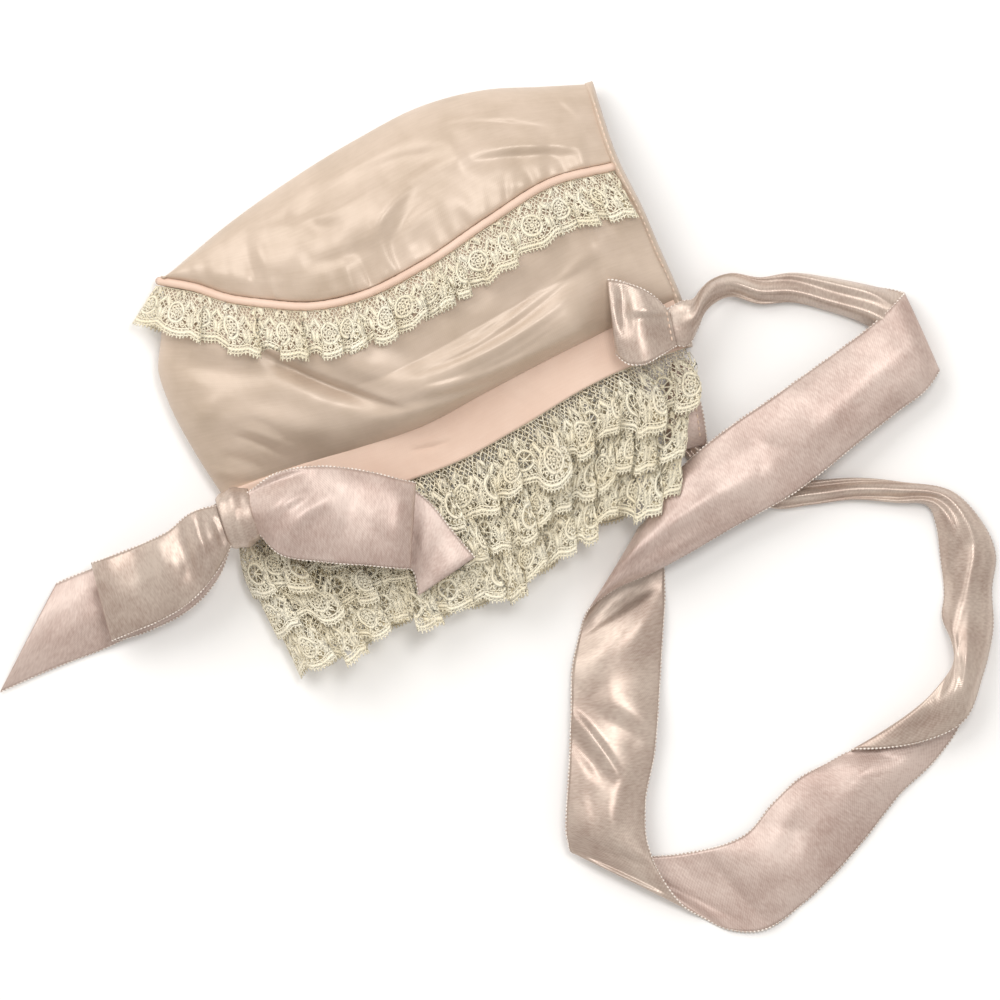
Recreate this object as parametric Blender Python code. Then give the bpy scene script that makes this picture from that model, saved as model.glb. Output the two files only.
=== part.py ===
"""Baby bonnet of silk with gathered lace, folded flat on its centre line and lying on its side.

The crown and the side panel are each one sheet that goes round a fold: the upper half is the
one that shows from above, the lower half lies on the surface. Lengths in the tables are in
millimetres, x to the right, y away from the viewer and z up from the surface.
"""
import bpy
import numpy as np

MM = 0.001

# Cloth thicknesses and gaps, in mm
SILK = 1.2
BAND_THICK = 2.0
BINDING_THICK = 1.6
LACE = 1.0
SATIN = 1.0
GAP = 0.35
PIPING_RADIUS = 1.3

# Widths of the trims, in mm
BINDING_WIDTH = 3.4
CROWN_LACE_DEPTH = 15.5
BAND_SEAM = 0.5
RUFFLE_DEPTH = 44.0
LACE_DEPTH = 17.5

# The point of the tables that becomes the part's origin
ORIGIN = np.array([-0.52, -1.74, 0.0])

# Seam between the crown and the side panel on the upper half, from the tip to the nape
SEAM = (
    # x, y, z
    (-103.5, 67.4, 8.0),
    (-94.6, 65.7, 11.0),
    (-84.3, 62.3, 14.5),
    (-72.2, 60.5, 18.0),
    (-58.0, 59.6, 21.5),
    (-44.0, 62.3, 24.0),
    (-24.0, 71.9, 26.0),
    (-3.7, 85.6, 25.0),
    (16.4, 98.0, 21.0),
    (32.6, 102.2, 17.0),
)

# Centre back fold of the crown, from the tip to the nape, with the height of the cloth beside it
TOP_FOLD = (
    # x, y, z
    (-100.8, 71.8, 9.0),
    (-84.3, 84.9, 10.0),
    (-64.2, 99.2, 11.0),
    (-44.0, 111.6, 12.0),
    (-23.9, 121.8, 12.0),
    (-3.7, 126.8, 11.5),
    (12.0, 127.6, 11.0),
    (24.1, 128.0, 10.0),
)

# Top of the head, where the side panel is folded, between the crown seam and the face band
LEFT_FOLD = (
    # x, y, z
    (-104.6, 50.7, 13.0),
    (-105.4, 39.7, 13.0),
    (-102.6, 31.0, 13.0),
    (-94.6, 15.5, 12.0),
)

# Upper and lower edges of the face band, from the fold to the chin corner
BAND_TOP = (
    # x, y, z
    (-85.9, 2.2, 9.5),
    (-60.1, 11.5, 11.0),
    (-36.0, 19.2, 12.0),
    (-23.9, 23.8, 12.5),
    (-3.7, 34.6, 12.5),
    (16.4, 45.1, 12.0),
    (32.9, 53.2, 11.5),
    (51.9, 61.4, 11.0),
)
BAND_LOW = (
    # x, y, z
    (-79.0, -13.0, 9.5),
    (-52.0, -3.2, 11.0),
    (-26.0, 6.8, 12.0),
    (-14.0, 11.5, 12.3),
    (6.2, 22.5, 12.3),
    (26.4, 34.6, 12.0),
    (36.0, 39.4, 11.5),
    (55.0, 46.2, 11.0),
)

# Free edge of the face ruffle, its fold at the top of the head and its end at the chin corner
RUFFLE_EDGE = (
    # x, y, z
    (-60.9, -53.6, 11.0),
    (-49.3, -48.1, 11.0),
    (-40.4, -43.6, 11.2),
    (-28.3, -37.0, 11.4),
    (-18.3, -35.6, 11.5),
    (0.6, -29.4, 11.5),
    (16.7, -19.7, 11.5),
    (29.0, -8.6, 11.5),
    (45.1, -2.6, 11.2),
    (52.5, 5.0, 11.0),
)
RUFFLE_FOLD = (
    # x, y, z
    (-77.4, -21.7, 9.8),
    (-73.2, -30.5, 10.4),
    (-66.5, -42.9, 10.8),
)
RUFFLE_END = (
    # x, y, z
    (60.6, 38.4, 11.0),
    (57.8, 28.0, 11.0),
    (55.0, 14.0, 11.0),
)

# Stitched line just inside the nape edge, from the centre back fold to the chin corner
NAPE = (
    # x, y, z
    (24.9, 127.7, 9.5),
    (33.4, 102.4, 17.0),
    (40.2, 89.0, 16.5),
    (45.8, 76.0, 14.5),
    (49.8, 67.2, 12.8),
    (52.6, 60.4, 12.2),
    (55.8, 46.6, 11.0),
)
NAPE_ROWS_OF_SIDE_PANEL = slice(2, 5)

# Heights of the fold lines of the sheets above the surface
CROWN_FOLD_HEIGHT = 5.0
SIDE_FOLD_HEIGHT = 6.0
TRIM_FOLD_HEIGHT = 5.0

# Soft folds of the side panel, each a straight ridge or valley
SIDE_FOLDS = (
    # from x, from y, to x, to y, half width, height
    (-73.0, 42.5, -36.0, 26.0, 4.2, -3.6),
    (-64.0, 48.0, -30.0, 33.0, 6.0, 2.2),
    (-20.0, 40.0, 34.0, 80.0, 5.0, 1.6),
    (-34.0, 30.0, 22.0, 62.0, 5.0, -1.4),
)
CROWN_DOME = 5.0
SIDE_DOME = 4.5
BILLOW_HEIGHT = 3.2
BILLOW_OVERHANG = 2.6
BILLOW_SPAN = 0.26


def smooth(rows, at):
    """Values at the shares of the way along a table, on cubic pieces through its rows."""
    rows = np.array(rows, float)
    at = np.asarray(at, float)
    gaps = np.linalg.norm(np.diff(rows[:, :6], axis=0), axis=1)
    way = np.concatenate([[0.0], np.cumsum(gaps)]) / gaps.sum()
    slopes = np.gradient(rows, way, axis=0)
    piece = np.clip(np.searchsorted(way, at, side="right") - 1, 0, len(gaps) - 1)
    span = (way[piece + 1] - way[piece])[:, None]
    part = (at - way[piece])[:, None] / span
    start = (1 + 2 * part) * (1 - part) ** 2 * rows[piece] + part * (1 - part) ** 2 * span * slopes[piece]
    end = part ** 2 * (3 - 2 * part) * rows[piece + 1] - part ** 2 * (1 - part) * span * slopes[piece + 1]
    return start + end


def edge(rows, at, shift=0.0):
    """The smooth line of a table, moved sideways in plan, to its left where shift is positive."""
    run = smooth(rows, np.clip(at + 0.01, 0, 1)) - smooth(rows, np.clip(at - 0.01, 0, 1))
    left = np.stack([-run[:, 1], run[:, 0], np.zeros(len(run))], axis=1)
    left /= np.linalg.norm(left, axis=1)[:, None]
    return smooth(rows, at) + shift * left


def four_sided(near, far, left, right, across, down):
    """Surface filled between four edges: the sum of both rulings less the corners' bilinear one."""
    across = across[:, None, None]
    down = down[None, :, None]
    ruled = (1 - down) * near[:, None] + down * far[:, None]
    crossed = (1 - across) * left[None] + across * right[None]
    top = (1 - across) * left[0] + across * right[0]
    low = (1 - across) * left[-1] + across * right[-1]
    return ruled + crossed - (1 - down) * top - down * low


def step_up(value, low, high):
    """Rises softly from 0 at low to 1 at high."""
    part = np.clip((value - low) / (high - low), 0, 1)
    return part * part * (3 - 2 * part)


def round_fold(arc, arc_steps, flat_steps, lower_reach=1.0):
    """Stations round a fold, from the far edge of the lower half to that of the upper half.

    Gives each one's share of the way from the fold, its rise (1 on the upper half, -1 on the
    lower half, a sine between) and its outward part (a cosine that is 1 on the fold itself).
    """
    turn = np.linspace(0, np.pi / 2, arc_steps + 1)
    flat = np.linspace(0, 1, flat_steps + 1)[1:]
    bend = arc * (1 - np.cos(turn))
    share = np.concatenate([(arc + (lower_reach - arc) * flat)[::-1], bend[:0:-1], bend, arc + (1 - arc) * flat])
    rise = np.concatenate([-np.ones(flat_steps), -np.sin(turn[:0:-1]), np.sin(turn), np.ones(flat_steps)])
    out = np.concatenate([np.zeros(flat_steps), np.cos(turn[:0:-1]), np.cos(turn), np.zeros(flat_steps)])
    return share, rise, out


def folded_height(lower, fold, upper, rise):
    """Height on a folded sheet: the fold's own, pulled up or down by the rise."""
    return fold + np.maximum(rise, 0) * (upper - fold) + np.minimum(rise, 0) * (fold - lower)


def material(name, colour, roughness):
    """A plain Principled material of a cloth."""
    made = bpy.data.materials.new(name)
    made.use_nodes = True
    shader = made.node_tree.nodes["Principled BSDF"]
    shader.inputs["Base Color"].default_value = (*colour, 1.0)
    shader.inputs["Roughness"].default_value = roughness
    shader.inputs["Metallic"].default_value = 0.0
    return made


def cloth(name, grid, thickness, look):
    """A sheet of cloth: the grid's surface with half the thickness on either side of it."""
    rows, columns = grid.shape[:2]
    index = np.arange(rows * columns).reshape(rows, columns)
    corners = (index[:-1, :-1], index[1:, :-1], index[1:, 1:], index[:-1, 1:])
    faces = np.stack([corner.ravel() for corner in corners], axis=1)
    mesh = bpy.data.meshes.new(name)
    points = (grid - ORIGIN).reshape(-1, 3) * MM
    mesh.from_pydata(points.tolist(), [], faces.tolist())
    mesh.shade_smooth()
    mesh.materials.append(look)
    piece = bpy.data.objects.new(name, mesh)
    bpy.context.scene.collection.objects.link(piece)
    solid = piece.modifiers.new("Thickness", "SOLIDIFY")
    solid.thickness = thickness * MM
    solid.offset = 0.0
    return piece


def ribbon(name, rows, look, steps, across=4):
    """A ribbon laid from edge to edge: where its edges come nearer than its width, it bows up.

    A row has the two edges' points and the width of cloth between them. The section is the
    circular arc over the chord, whose half angle solves sin(angle) / angle = chord / width.
    """
    line = smooth(rows, np.linspace(0, 1, steps + 1))
    first = line[:, :3]
    chord = line[:, 3:6] - first
    length = np.linalg.norm(chord, axis=1)
    slack = np.clip(length / line[:, 6], 0.12, 0.9999)
    low = np.full(len(slack), 0.001)
    high = np.full(len(slack), np.pi)
    for _ in range(30):
        half = (low + high) / 2
        wide = np.sin(half) / half > slack
        low = np.where(wide, half, low)
        high = np.where(wide, high, half)
    unit = chord / length[:, None]
    lift = np.array([0.0, 0.0, 1.0]) - unit[:, 2:3] * unit
    lift /= np.linalg.norm(lift, axis=1)[:, None]
    radius = length / (2 * np.sin(half))
    turn = np.linspace(-1, 1, across + 1)[None, :] * half[:, None]
    along = length[:, None] / 2 + radius[:, None] * np.sin(turn)
    height = radius[:, None] * (np.cos(turn) - np.cos(half)[:, None])
    grid = first[:, None] + along[..., None] * unit[:, None] + height[..., None] * lift[:, None]
    return cloth(name, grid, SATIN, look)


def clear_scene():
    """Takes every object out of the open scene."""
    for thing in list(bpy.data.objects):
        bpy.data.objects.remove(thing, do_unlink=True)


def crown_panel(look):
    """Half moon of the back of the head, doubled on the centre back fold."""
    along = np.linspace(0, 1, 17)
    seam = edge(SEAM, along, PIPING_RADIUS + GAP + 0.2)
    fold = smooth(TOP_FOLD, along)
    share, rise, _ = round_fold(0.2, 3, 5)
    grid = fold[:, None] + share[None, :, None] * (seam - fold)[:, None]
    dome = CROWN_DOME * np.sin(np.pi * share)[None, :] * np.sin(np.pi * along)[:, None] ** 0.7
    fold_height = CROWN_FOLD_HEIGHT + np.zeros(len(along))[:, None]
    grid[..., 2] = folded_height(SILK / 2, fold_height, grid[..., 2] + dome, rise[None, :])
    return cloth("crown_panel", grid, SILK, look)


def side_surface(share, down):
    """Upper half of the side panel: a domed four-sided patch with its ridges and valleys."""
    seam = edge(SEAM, share, -(PIPING_RADIUS + GAP + 0.2))
    band = edge(BAND_TOP, share, BAND_SEAM)
    ends = np.array([0.0, 1.0])
    seam_ends = edge(SEAM, ends, -(PIPING_RADIUS + GAP + 0.2))
    band_ends = edge(BAND_TOP, ends, BAND_SEAM)
    head = smooth([seam_ends[0], *LEFT_FOLD, band_ends[0]], down)
    nape_rows = np.array(NAPE[NAPE_ROWS_OF_SIDE_PANEL]) - [GAP + 0.3, 0.0, 0.0]
    nape = smooth([seam_ends[1], *nape_rows, band_ends[1]], down)
    head[0], head[-1] = seam_ends[0], band_ends[0]
    nape[0], nape[-1] = seam_ends[1], band_ends[1]
    surface = four_sided(seam, band, head, nape, share, down)
    dome = SIDE_DOME * np.sin(np.pi * share)[:, None] ** 0.6 * np.sin(np.pi * down)[None, :]
    surface[..., 2] += dome
    for x0, y0, x1, y1, half_width, height in SIDE_FOLDS:
        run = np.array([x1 - x0, y1 - y0])
        length = np.hypot(*run)
        ahead = ((surface[..., 0] - x0) * run[0] + (surface[..., 1] - y0) * run[1]) / length
        aside = ((surface[..., 0] - x0) * run[1] - (surface[..., 1] - y0) * run[0]) / length
        window = np.sin(np.pi * np.clip(ahead / length, 0, 1))
        surface[..., 2] += height * window * np.exp(-(aside / half_width) ** 2)
    return surface


def side_panel(look):
    """Long panel over the head from chin corner to chin corner, folded at the top of the head."""
    share, rise, _ = round_fold(0.09, 3, 10)
    down = np.array([0, 0.12, 0.25, 0.37, 0.48, 0.58, 0.68, 0.77, 0.85, 0.91, 0.955, 0.985, 1.0])
    grid = side_surface(share, down)
    sit = step_up(share, 0.12, 0.30)[:, None] * np.maximum(rise, 0)[:, None]
    spill = step_up(share, 0.30, 0.45) * (1 - step_up(share, 0.78, 0.88)) * np.maximum(rise, 0)
    slack = np.sqrt(np.clip((1 - down) / BILLOW_SPAN, 0, 1))
    puff = spill[:, None] * np.sin(np.pi * slack)[None, :]
    over_band = (BAND_THICK + SILK) / 2 + GAP
    upper = grid[..., 2] + sit * over_band * (1 - slack)[None, :] + BILLOW_HEIGHT * puff
    outward = edge(BAND_TOP, share, -1.0)[:, :2] - edge(BAND_TOP, share, 0.0)[:, :2]
    grid[..., :2] += BILLOW_OVERHANG * puff[..., None] * outward[:, None]
    over_lace = LACE + GAP
    depth = np.linalg.norm(grid[:, -1, :2] - grid[:, 0, :2], axis=1)
    reach = (CROWN_LACE_DEPTH / depth)[:, None]
    lower = SILK / 2 + over_lace * (1 - step_up(down[None, :], reach + 0.04, reach + 0.2))
    grid[..., 2] = folded_height(lower, SIDE_FOLD_HEIGHT, upper, rise[:, None])
    return cloth("side_panel", grid, SILK, look)


def crown_piping(look):
    """Round covered cord along the crown seam of both halves, bent round the tip."""
    share, rise, out = round_fold(0.05, 4, 24)
    path = smooth(SEAM, share)
    tip_turn = np.array([-1.9, 0.4])
    path[:, :2] += out[:, None] * tip_turn
    path[:, 2] = folded_height(PIPING_RADIUS, TRIM_FOLD_HEIGHT, path[:, 2], rise)
    shape = bpy.data.curves.new("crown_piping", "CURVE")
    shape.dimensions = "3D"
    shape.bevel_depth = PIPING_RADIUS * MM
    shape.bevel_resolution = 1
    shape.use_fill_caps = True
    spline = shape.splines.new("POLY")
    spline.points.add(len(path) - 1)
    for point, place in zip(spline.points, (path - ORIGIN) * MM):
        point.co = (*place, 1.0)
    shape.materials.append(look)
    piece = bpy.data.objects.new("crown_piping", shape)
    bpy.context.scene.collection.objects.link(piece)
    return piece


def crown_lace(look):
    """Narrow gathered lace that hangs from the piping over the side panel."""
    share, rise, out = round_fold(0.09, 3, 31)
    seam_to_band = np.linalg.norm(smooth(SEAM, share)[:, :2] - smooth(BAND_TOP, share)[:, :2], axis=1)
    reach = CROWN_LACE_DEPTH / seam_to_band
    fine = np.linspace(0, 0.5, 41)
    panel = side_surface(share, fine)
    down = np.array([0.0, 0.5, 1.0])
    place = down[None, :] * reach[:, None] / fine[1]
    cell = np.floor(place).astype(int)
    part = (place - cell)[..., None]
    row = np.arange(len(share))[:, None]
    grid = (1 - part) * panel[row, cell] + part * panel[row, cell + 1]
    wave = 0.5 + 0.5 * np.cos(2 * np.pi * 13 * share)
    ruffle = 2.4 * wave[:, None] * down[None, :] ** 1.5
    upper = grid[..., 2] + (SILK + LACE) / 2 + 2 * GAP + ruffle
    tip_spread = np.array([-0.87, 0.48]) * 7.6
    beside_tip = np.array([-2.2, 0.1])
    grid[..., :2] += out[:, None, None] * (beside_tip + down[None, :, None] * tip_spread)
    grid[..., 2] = folded_height(LACE / 2, SIDE_FOLD_HEIGHT - 0.6, upper, rise[:, None])
    return cloth("crown_lace", grid, LACE, look)


def face_band(look):
    """Flat doubled band along the face edge."""
    share, rise, _ = round_fold(0.05, 3, 15)
    top = edge(BAND_TOP, share)
    low = edge(BAND_LOW, share)
    grid = np.stack([top, low], axis=1)
    grid[..., 2] = folded_height(BAND_THICK / 2, TRIM_FOLD_HEIGHT, grid[..., 2], rise[:, None])
    return cloth("face_band", grid, BAND_THICK, look)


def face_lace(row, look):
    """One of the three gathered laces of the face ruffle, each lying over the next one's top."""
    share, rise, out = round_fold(0.05, 3, 30, lower_reach=0.88)
    first_depth = (0.0, 0.305, 0.6)[row]
    down = np.array([0.0, 0.28, 0.64, 1.0])
    depth = first_depth + down * LACE_DEPTH / RUFFLE_DEPTH
    ends = np.array([0.0, 1.0])
    band = edge(BAND_LOW, share, -(GAP + 0.1))
    band_ends = edge(BAND_LOW, ends, -(GAP + 0.1))
    free = smooth(RUFFLE_EDGE, share)
    fold_rows = [band_ends[0], *RUFFLE_FOLD, RUFFLE_EDGE[0]]
    end_rows = [band_ends[1], *RUFFLE_END, RUFFLE_EDGE[-1]]
    whole = np.linspace(0, 1, 81)
    surface = four_sided(band, free, smooth(fold_rows, whole), smooth(end_rows, whole), share, whole)
    cell = np.minimum((depth / whole[1]).astype(int), len(whole) - 2)
    part = (depth / whole[1] - cell)[None, :, None]
    grid = (1 - part) * surface[:, cell] + part * surface[:, cell + 1]
    wave = 0.5 + 0.5 * np.cos(2 * np.pi * (8 * share + 0.37 * row))
    ruffle = 2.2 * wave[:, None] * down[None, :] ** 1.5
    tile = -0.65 + 1.95 * down[None, :]
    upper = grid[..., 2] + tile + ruffle
    under = (1 - step_up(down, 0.28, 0.64))[None, :] * (LACE + GAP) * (row > 0)
    lower = LACE / 2 + under
    outward = np.array([-0.94, -0.34])
    nested = 0.3 + 0.75 * (2 - row) + 0.9 * down
    grid[..., :2] += out[:, None, None] * nested[None, :, None] * outward
    grid[..., 2] = folded_height(lower, TRIM_FOLD_HEIGHT, upper, rise[:, None])
    return cloth(f"face_lace_{row + 1}", grid, LACE, look)


def nape_binding(look):
    """Narrow turned edge along the nape, from chin corner to chin corner over the centre back."""
    share, rise, out = round_fold(0.06, 3, 16)
    inner = edge(NAPE, share, GAP)
    outer = edge(NAPE, share, GAP + BINDING_WIDTH)
    grid = np.stack([inner, outer], axis=1)
    grid[..., 1] += 0.6 * out[:, None]
    grid[..., 2] = folded_height(BINDING_THICK / 2, CROWN_FOLD_HEIGHT, grid[..., 2], rise[:, None])
    return cloth("nape_binding", grid, BINDING_THICK, look)


def bow_knot(look):
    """Ribbon wrapped round the middle of the bow: a barrel with its axis along the bow."""
    centre = np.array([-81.2, -5.4, 17.5])
    axis = np.array([0.955, 0.296, 0.0])
    side = np.array([-0.296, 0.955, 0.0])
    half_length = 6.0
    profile = np.array([[-1.0, 0.74], [-0.8, 0.93], [-0.3, 1.0], [0.3, 1.0], [0.8, 0.93], [1.0, 0.74]])
    turn = np.linspace(0, 2 * np.pi, 20, endpoint=False)
    ring = 9.4 * np.cos(turn)[:, None] * side + 6.4 * np.sin(turn)[:, None] * np.array([0.0, 0.0, 1.0])
    points = centre + profile[:, 0, None, None] * half_length * axis + profile[:, 1, None, None] * ring
    count = len(turn)
    faces = []
    for level in range(len(profile) - 1):
        for k in range(count):
            following = (k + 1) % count
            base = level * count
            faces.append((base + k, base + following, base + count + following, base + count + k))
    faces.append(tuple(range(count - 1, -1, -1)))
    faces.append(tuple(range((len(profile) - 1) * count, len(profile) * count)))
    mesh = bpy.data.meshes.new("bow_knot")
    mesh.from_pydata(((points - ORIGIN) * MM).reshape(-1, 3).tolist(), [], faces)
    mesh.shade_smooth()
    mesh.materials.append(look)
    piece = bpy.data.objects.new("bow_knot", mesh)
    bpy.context.scene.collection.objects.link(piece)
    return piece


# Ribbons, each a row of both edges' points with the width of cloth between them, along its run
BOW_LOOP_RIGHT = (
    # x, y, z, x, y, z, width
    (-76.75, 1.84, 21.3, -73.43, -8.86, 21.3, 12.4),
    (-69.0, 8.0, 24.5, -67.5, -16.6, 24.0, 27.0),
    (-57.0, 10.2, 24.5, -55.0, -18.8, 24.0, 30.0),
    (-40.0, 8.5, 23.0, -40.0, -20.0, 23.0, 29.5),
    (-29.0, 5.8, 22.0, -30.3, -20.9, 22.0, 28.0),
    (-26.0, 5.2, 20.3, -27.6, -21.0, 20.3, 27.0),
    (-29.0, 5.8, 18.4, -30.3, -20.0, 18.4, 27.0),
    (-42.0, 8.0, 18.2, -42.0, -18.5, 18.2, 27.0),
    (-57.0, 8.2, 18.4, -56.0, -16.0, 18.4, 25.0),
    (-68.0, 5.0, 18.4, -67.0, -12.0, 18.4, 18.0),
    (-76.6, 1.4, 17.6, -73.6, -8.3, 17.6, 10.4),
)
BOW_LOOP_LEFT = (
    # x, y, z, x, y, z, width
    (-88.97, -1.94, 21.0, -85.65, -12.64, 21.0, 12.4),
    (-95.0, -4.2, 22.0, -89.0, -24.5, 21.0, 24.0),
    (-103.0, -10.3, 18.0, -95.0, -31.8, 18.0, 27.5),
    (-113.0, -14.8, 14.0, -104.5, -37.6, 14.0, 28.0),
    (-122.6, -18.4, 11.4, -115.8, -42.4, 11.4, 28.0),
    (-126.2, -19.8, 9.0, -120.0, -44.2, 9.0, 27.0),
    (-122.6, -18.8, 6.6, -115.8, -42.0, 6.6, 26.5),
    (-113.0, -15.4, 8.2, -104.5, -37.0, 8.2, 26.0),
    (-103.0, -11.3, 11.4, -95.4, -30.6, 11.4, 23.5),
    (-95.0, -6.0, 15.6, -90.0, -22.0, 15.6, 18.0),
    (-88.9, -2.3, 17.4, -85.8, -12.2, 17.4, 10.6),
)
BOW_TAIL_RIGHT = (
    # x, y, z, x, y, z, width
    (-76.27, 0.31, 14.8, -73.91, -7.33, 14.8, 8.2),
    (-62.0, 5.0, 16.0, -61.0, -14.0, 16.0, 19.1),
    (-45.0, 8.0, 16.0, -48.0, -17.4, 16.0, 25.7),
    (-26.0, 3.2, 16.0, -39.0, -21.6, 16.0, 28.1),
    (-15.6, -6.4, 16.4, -32.0, -24.8, 16.2, 24.8),
    (-7.9, -17.6, 16.6, -24.5, -28.8, 16.0, 20.2),
)
BOW_TAIL_LEFT = (
    # x, y, z, x, y, z, width
    (-88.49, -3.47, 14.2, -86.13, -11.11, 14.2, 8.2),
    (-95.5, -8.0, 12.0, -90.0, -22.0, 11.5, 16.0),
    (-104.0, -12.6, 7.6, -97.0, -31.0, 7.2, 20.5),
    (-115.0, -17.2, 3.4, -107.0, -38.0, 3.2, 23.0),
    (-127.0, -21.7, 1.4, -121.1, -45.2, 1.0, 25.5),
    (-132.5, -23.9, 1.2, -139.3, -52.4, 0.7, 30.0),
    (-137.6, -26.1, 0.9, -154.8, -59.3, 0.6, 38.0),
)
CHIN_LOOP = (
    # x, y, z, x, y, z, width
    (52.0, 57.4, 18.4, 54.2, 47.8, 18.0, 12.0),
    (46.8, 62.4, 22.4, 49.0, 45.0, 20.2, 20.0),
    (40.6, 65.4, 23.2, 42.6, 42.0, 19.8, 26.5),
    (35.6, 67.2, 22.4, 37.2, 46.6, 19.6, 23.5),
    (34.2, 67.2, 20.4, 34.6, 49.6, 18.0, 20.0),
    (36.0, 66.4, 18.2, 37.4, 47.4, 15.6, 19.3),
    (41.0, 64.6, 17.8, 42.6, 44.0, 15.0, 20.9),
    (46.8, 61.6, 16.4, 48.6, 46.0, 15.0, 15.9),
    (51.6, 57.2, 15.0, 53.6, 48.4, 14.8, 9.3),
)
CHIN_LOOP_HIDDEN = (
    # x, y, z, x, y, z, width
    (53.6, 42.8, 2.0, 61.4, 43.4, 2.0, 8.6),
    (51.6, 36.0, 1.0, 63.2, 37.0, 1.0, 12.6),
    (50.6, 27.0, 0.8, 64.0, 29.0, 0.8, 14.2),
    (51.6, 20.0, 1.4, 64.2, 22.0, 1.4, 13.4),
    (52.4, 18.0, 3.8, 64.0, 20.0, 3.8, 12.4),
    (51.8, 21.0, 6.2, 63.4, 23.0, 6.2, 12.4),
    (51.4, 29.0, 6.8, 63.0, 31.0, 6.8, 12.4),
    (52.6, 37.0, 6.4, 62.4, 38.0, 6.4, 10.6),
    (54.0, 42.6, 5.0, 61.2, 43.2, 5.0, 7.8),
)
CHIN_RIBBON = (
    # x, y, z, x, y, z, width
    (53.2, 58.4, 17.6, 55.6, 48.6, 17.4, 13.0),
    (58.6, 62.2, 15.8, 60.2, 55.2, 15.4, 13.0),
    (63.6, 66.6, 9.0, 64.6, 60.6, 8.8, 14.0),
    (70.0, 69.4, 2.0, 70.4, 63.6, 2.0, 16.0),
    (80.3, 68.2, 1.0, 80.3, 61.4, 1.0, 17.0),
    (90.0, 69.8, 1.0, 90.0, 61.8, 1.0, 18.0),
    (103.0, 68.2, 1.0, 102.0, 59.0, 1.0, 20.0),
    (114.5, 66.2, 1.0, 113.5, 54.5, 1.0, 22.0),
    (121.5, 65.0, 1.0, 125.5, 44.5, 1.0, 27.0),
    (124.4, 64.2, 2.2, 133.0, 41.6, 2.2, 27.0),
    (125.2, 63.8, 4.6, 135.8, 40.6, 4.6, 27.0),
    (123.6, 62.0, 7.2, 134.8, 38.6, 7.2, 27.0),
    (118.0, 56.4, 8.4, 132.0, 34.6, 8.2, 27.5),
    (105.6, 46.7, 9.0, 123.0, 27.6, 9.0, 28.0),
    (94.0, 38.4, 10.0, 111.0, 18.2, 10.4, 28.5),
    (83.0, 30.6, 10.6, 99.5, 8.8, 11.6, 28.5),
    (73.5, 24.2, 10.8, 90.0, 1.8, 11.8, 28.5),
    (64.7, 17.6, 10.8, 81.0, -3.3, 11.4, 28.5),
    (56.5, 10.3, 10.4, 71.0, -8.8, 10.6, 28.5),
    (50.0, 2.6, 9.8, 58.5, -16.2, 10.0, 28.0),
    (47.2, -2.6, 9.2, 46.5, -22.6, 9.4, 28.0),
    (44.6, -7.0, 8.2, 35.4, -27.6, 8.6, 30.0),
    (42.6, -9.8, 5.4, 27.8, -33.4, 5.4, 30.0),
    (44.8, -11.8, 2.0, 26.2, -36.6, 2.2, 31.0),
    (49.8, -17.6, 0.8, 25.4, -39.4, 1.0, 32.0),
    (50.9, -27.8, 0.8, 24.2, -44.0, 0.8, 31.0),
    (50.2, -42.0, 1.2, 22.6, -52.0, 1.2, 30.0),
    (49.0, -62.0, 2.4, 22.2, -67.0, 2.4, 30.0),
    (47.6, -79.0, 4.4, 21.6, -82.0, 4.4, 29.0),
    (44.8, -94.0, 6.0, 20.8, -95.0, 6.0, 28.0),
    (45.4, -106.0, 6.2, 20.6, -101.6, 6.2, 28.0),
    (51.0, -118.6, 6.0, 21.2, -105.6, 6.0, 32.0),
    (56.6, -125.6, 3.8, 22.6, -109.2, 3.8, 38.0),
    (62.6, -129.2, 1.2, 29.0, -109.0, 1.4, 38.0),
    (72.0, -133.2, 0.8, 45.0, -110.6, 0.8, 34.0),
    (81.8, -133.0, 0.8, 60.0, -109.2, 1.0, 32.0),
    (94.2, -124.6, 0.8, 76.0, -103.8, 2.0, 29.0),
    (104.2, -115.0, 0.8, 84.8, -93.8, 2.4, 29.5),
    (114.3, -103.2, 0.8, 93.0, -86.2, 1.8, 28.5),
    (124.0, -90.8, 0.8, 102.0, -81.4, 1.2, 26.0),
    (136.0, -79.0, 0.8, 107.0, -78.6, 0.9, 29.5),
    (142.8, -68.0, 0.9, 109.0, -77.8, 1.4, 35.6),
    (142.8, -55.8, 3.8, 110.2, -77.0, 3.8, 39.2),
    (141.6, -51.2, 6.8, 118.0, -76.6, 6.6, 34.8),
    (141.0, -48.4, 8.4, 131.0, -74.4, 7.2, 28.0),
    (140.2, -45.8, 9.0, 143.2, -68.2, 7.6, 23.6),
    (139.4, -42.6, 7.2, 149.4, -53.4, 6.0, 18.0),
    (137.0, -35.4, 4.0, 152.6, -38.0, 2.6, 19.0),
    (137.8, -29.4, 2.0, 152.2, -28.4, 1.2, 19.0),
    (136.6, -17.6, 1.8, 153.4, -16.8, 1.2, 21.0),
    (135.2, -7.6, 3.4, 149.4, -7.2, 2.4, 18.0),
    (132.6, -1.8, 2.2, 140.6, 2.2, 2.2, 14.0),
    (122.4, -0.5, 0.9, 124.4, 5.2, 0.9, 13.0),
    (109.1, 0.4, 0.8, 111.0, 6.6, 0.8, 13.0),
    (96.4, -1.2, 0.8, 97.0, 5.8, 0.8, 13.5),
    (84.0, -2.2, 0.8, 86.0, 4.6, 0.8, 13.5),
    (73.6, 4.0, 0.8, 78.6, 9.6, 0.8, 14.0),
    (66.2, 13.6, 0.8, 72.0, 17.6, 0.8, 14.0),
    (65.4, 21.0, 0.9, 70.0, 23.4, 0.9, 10.0),
)


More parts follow.
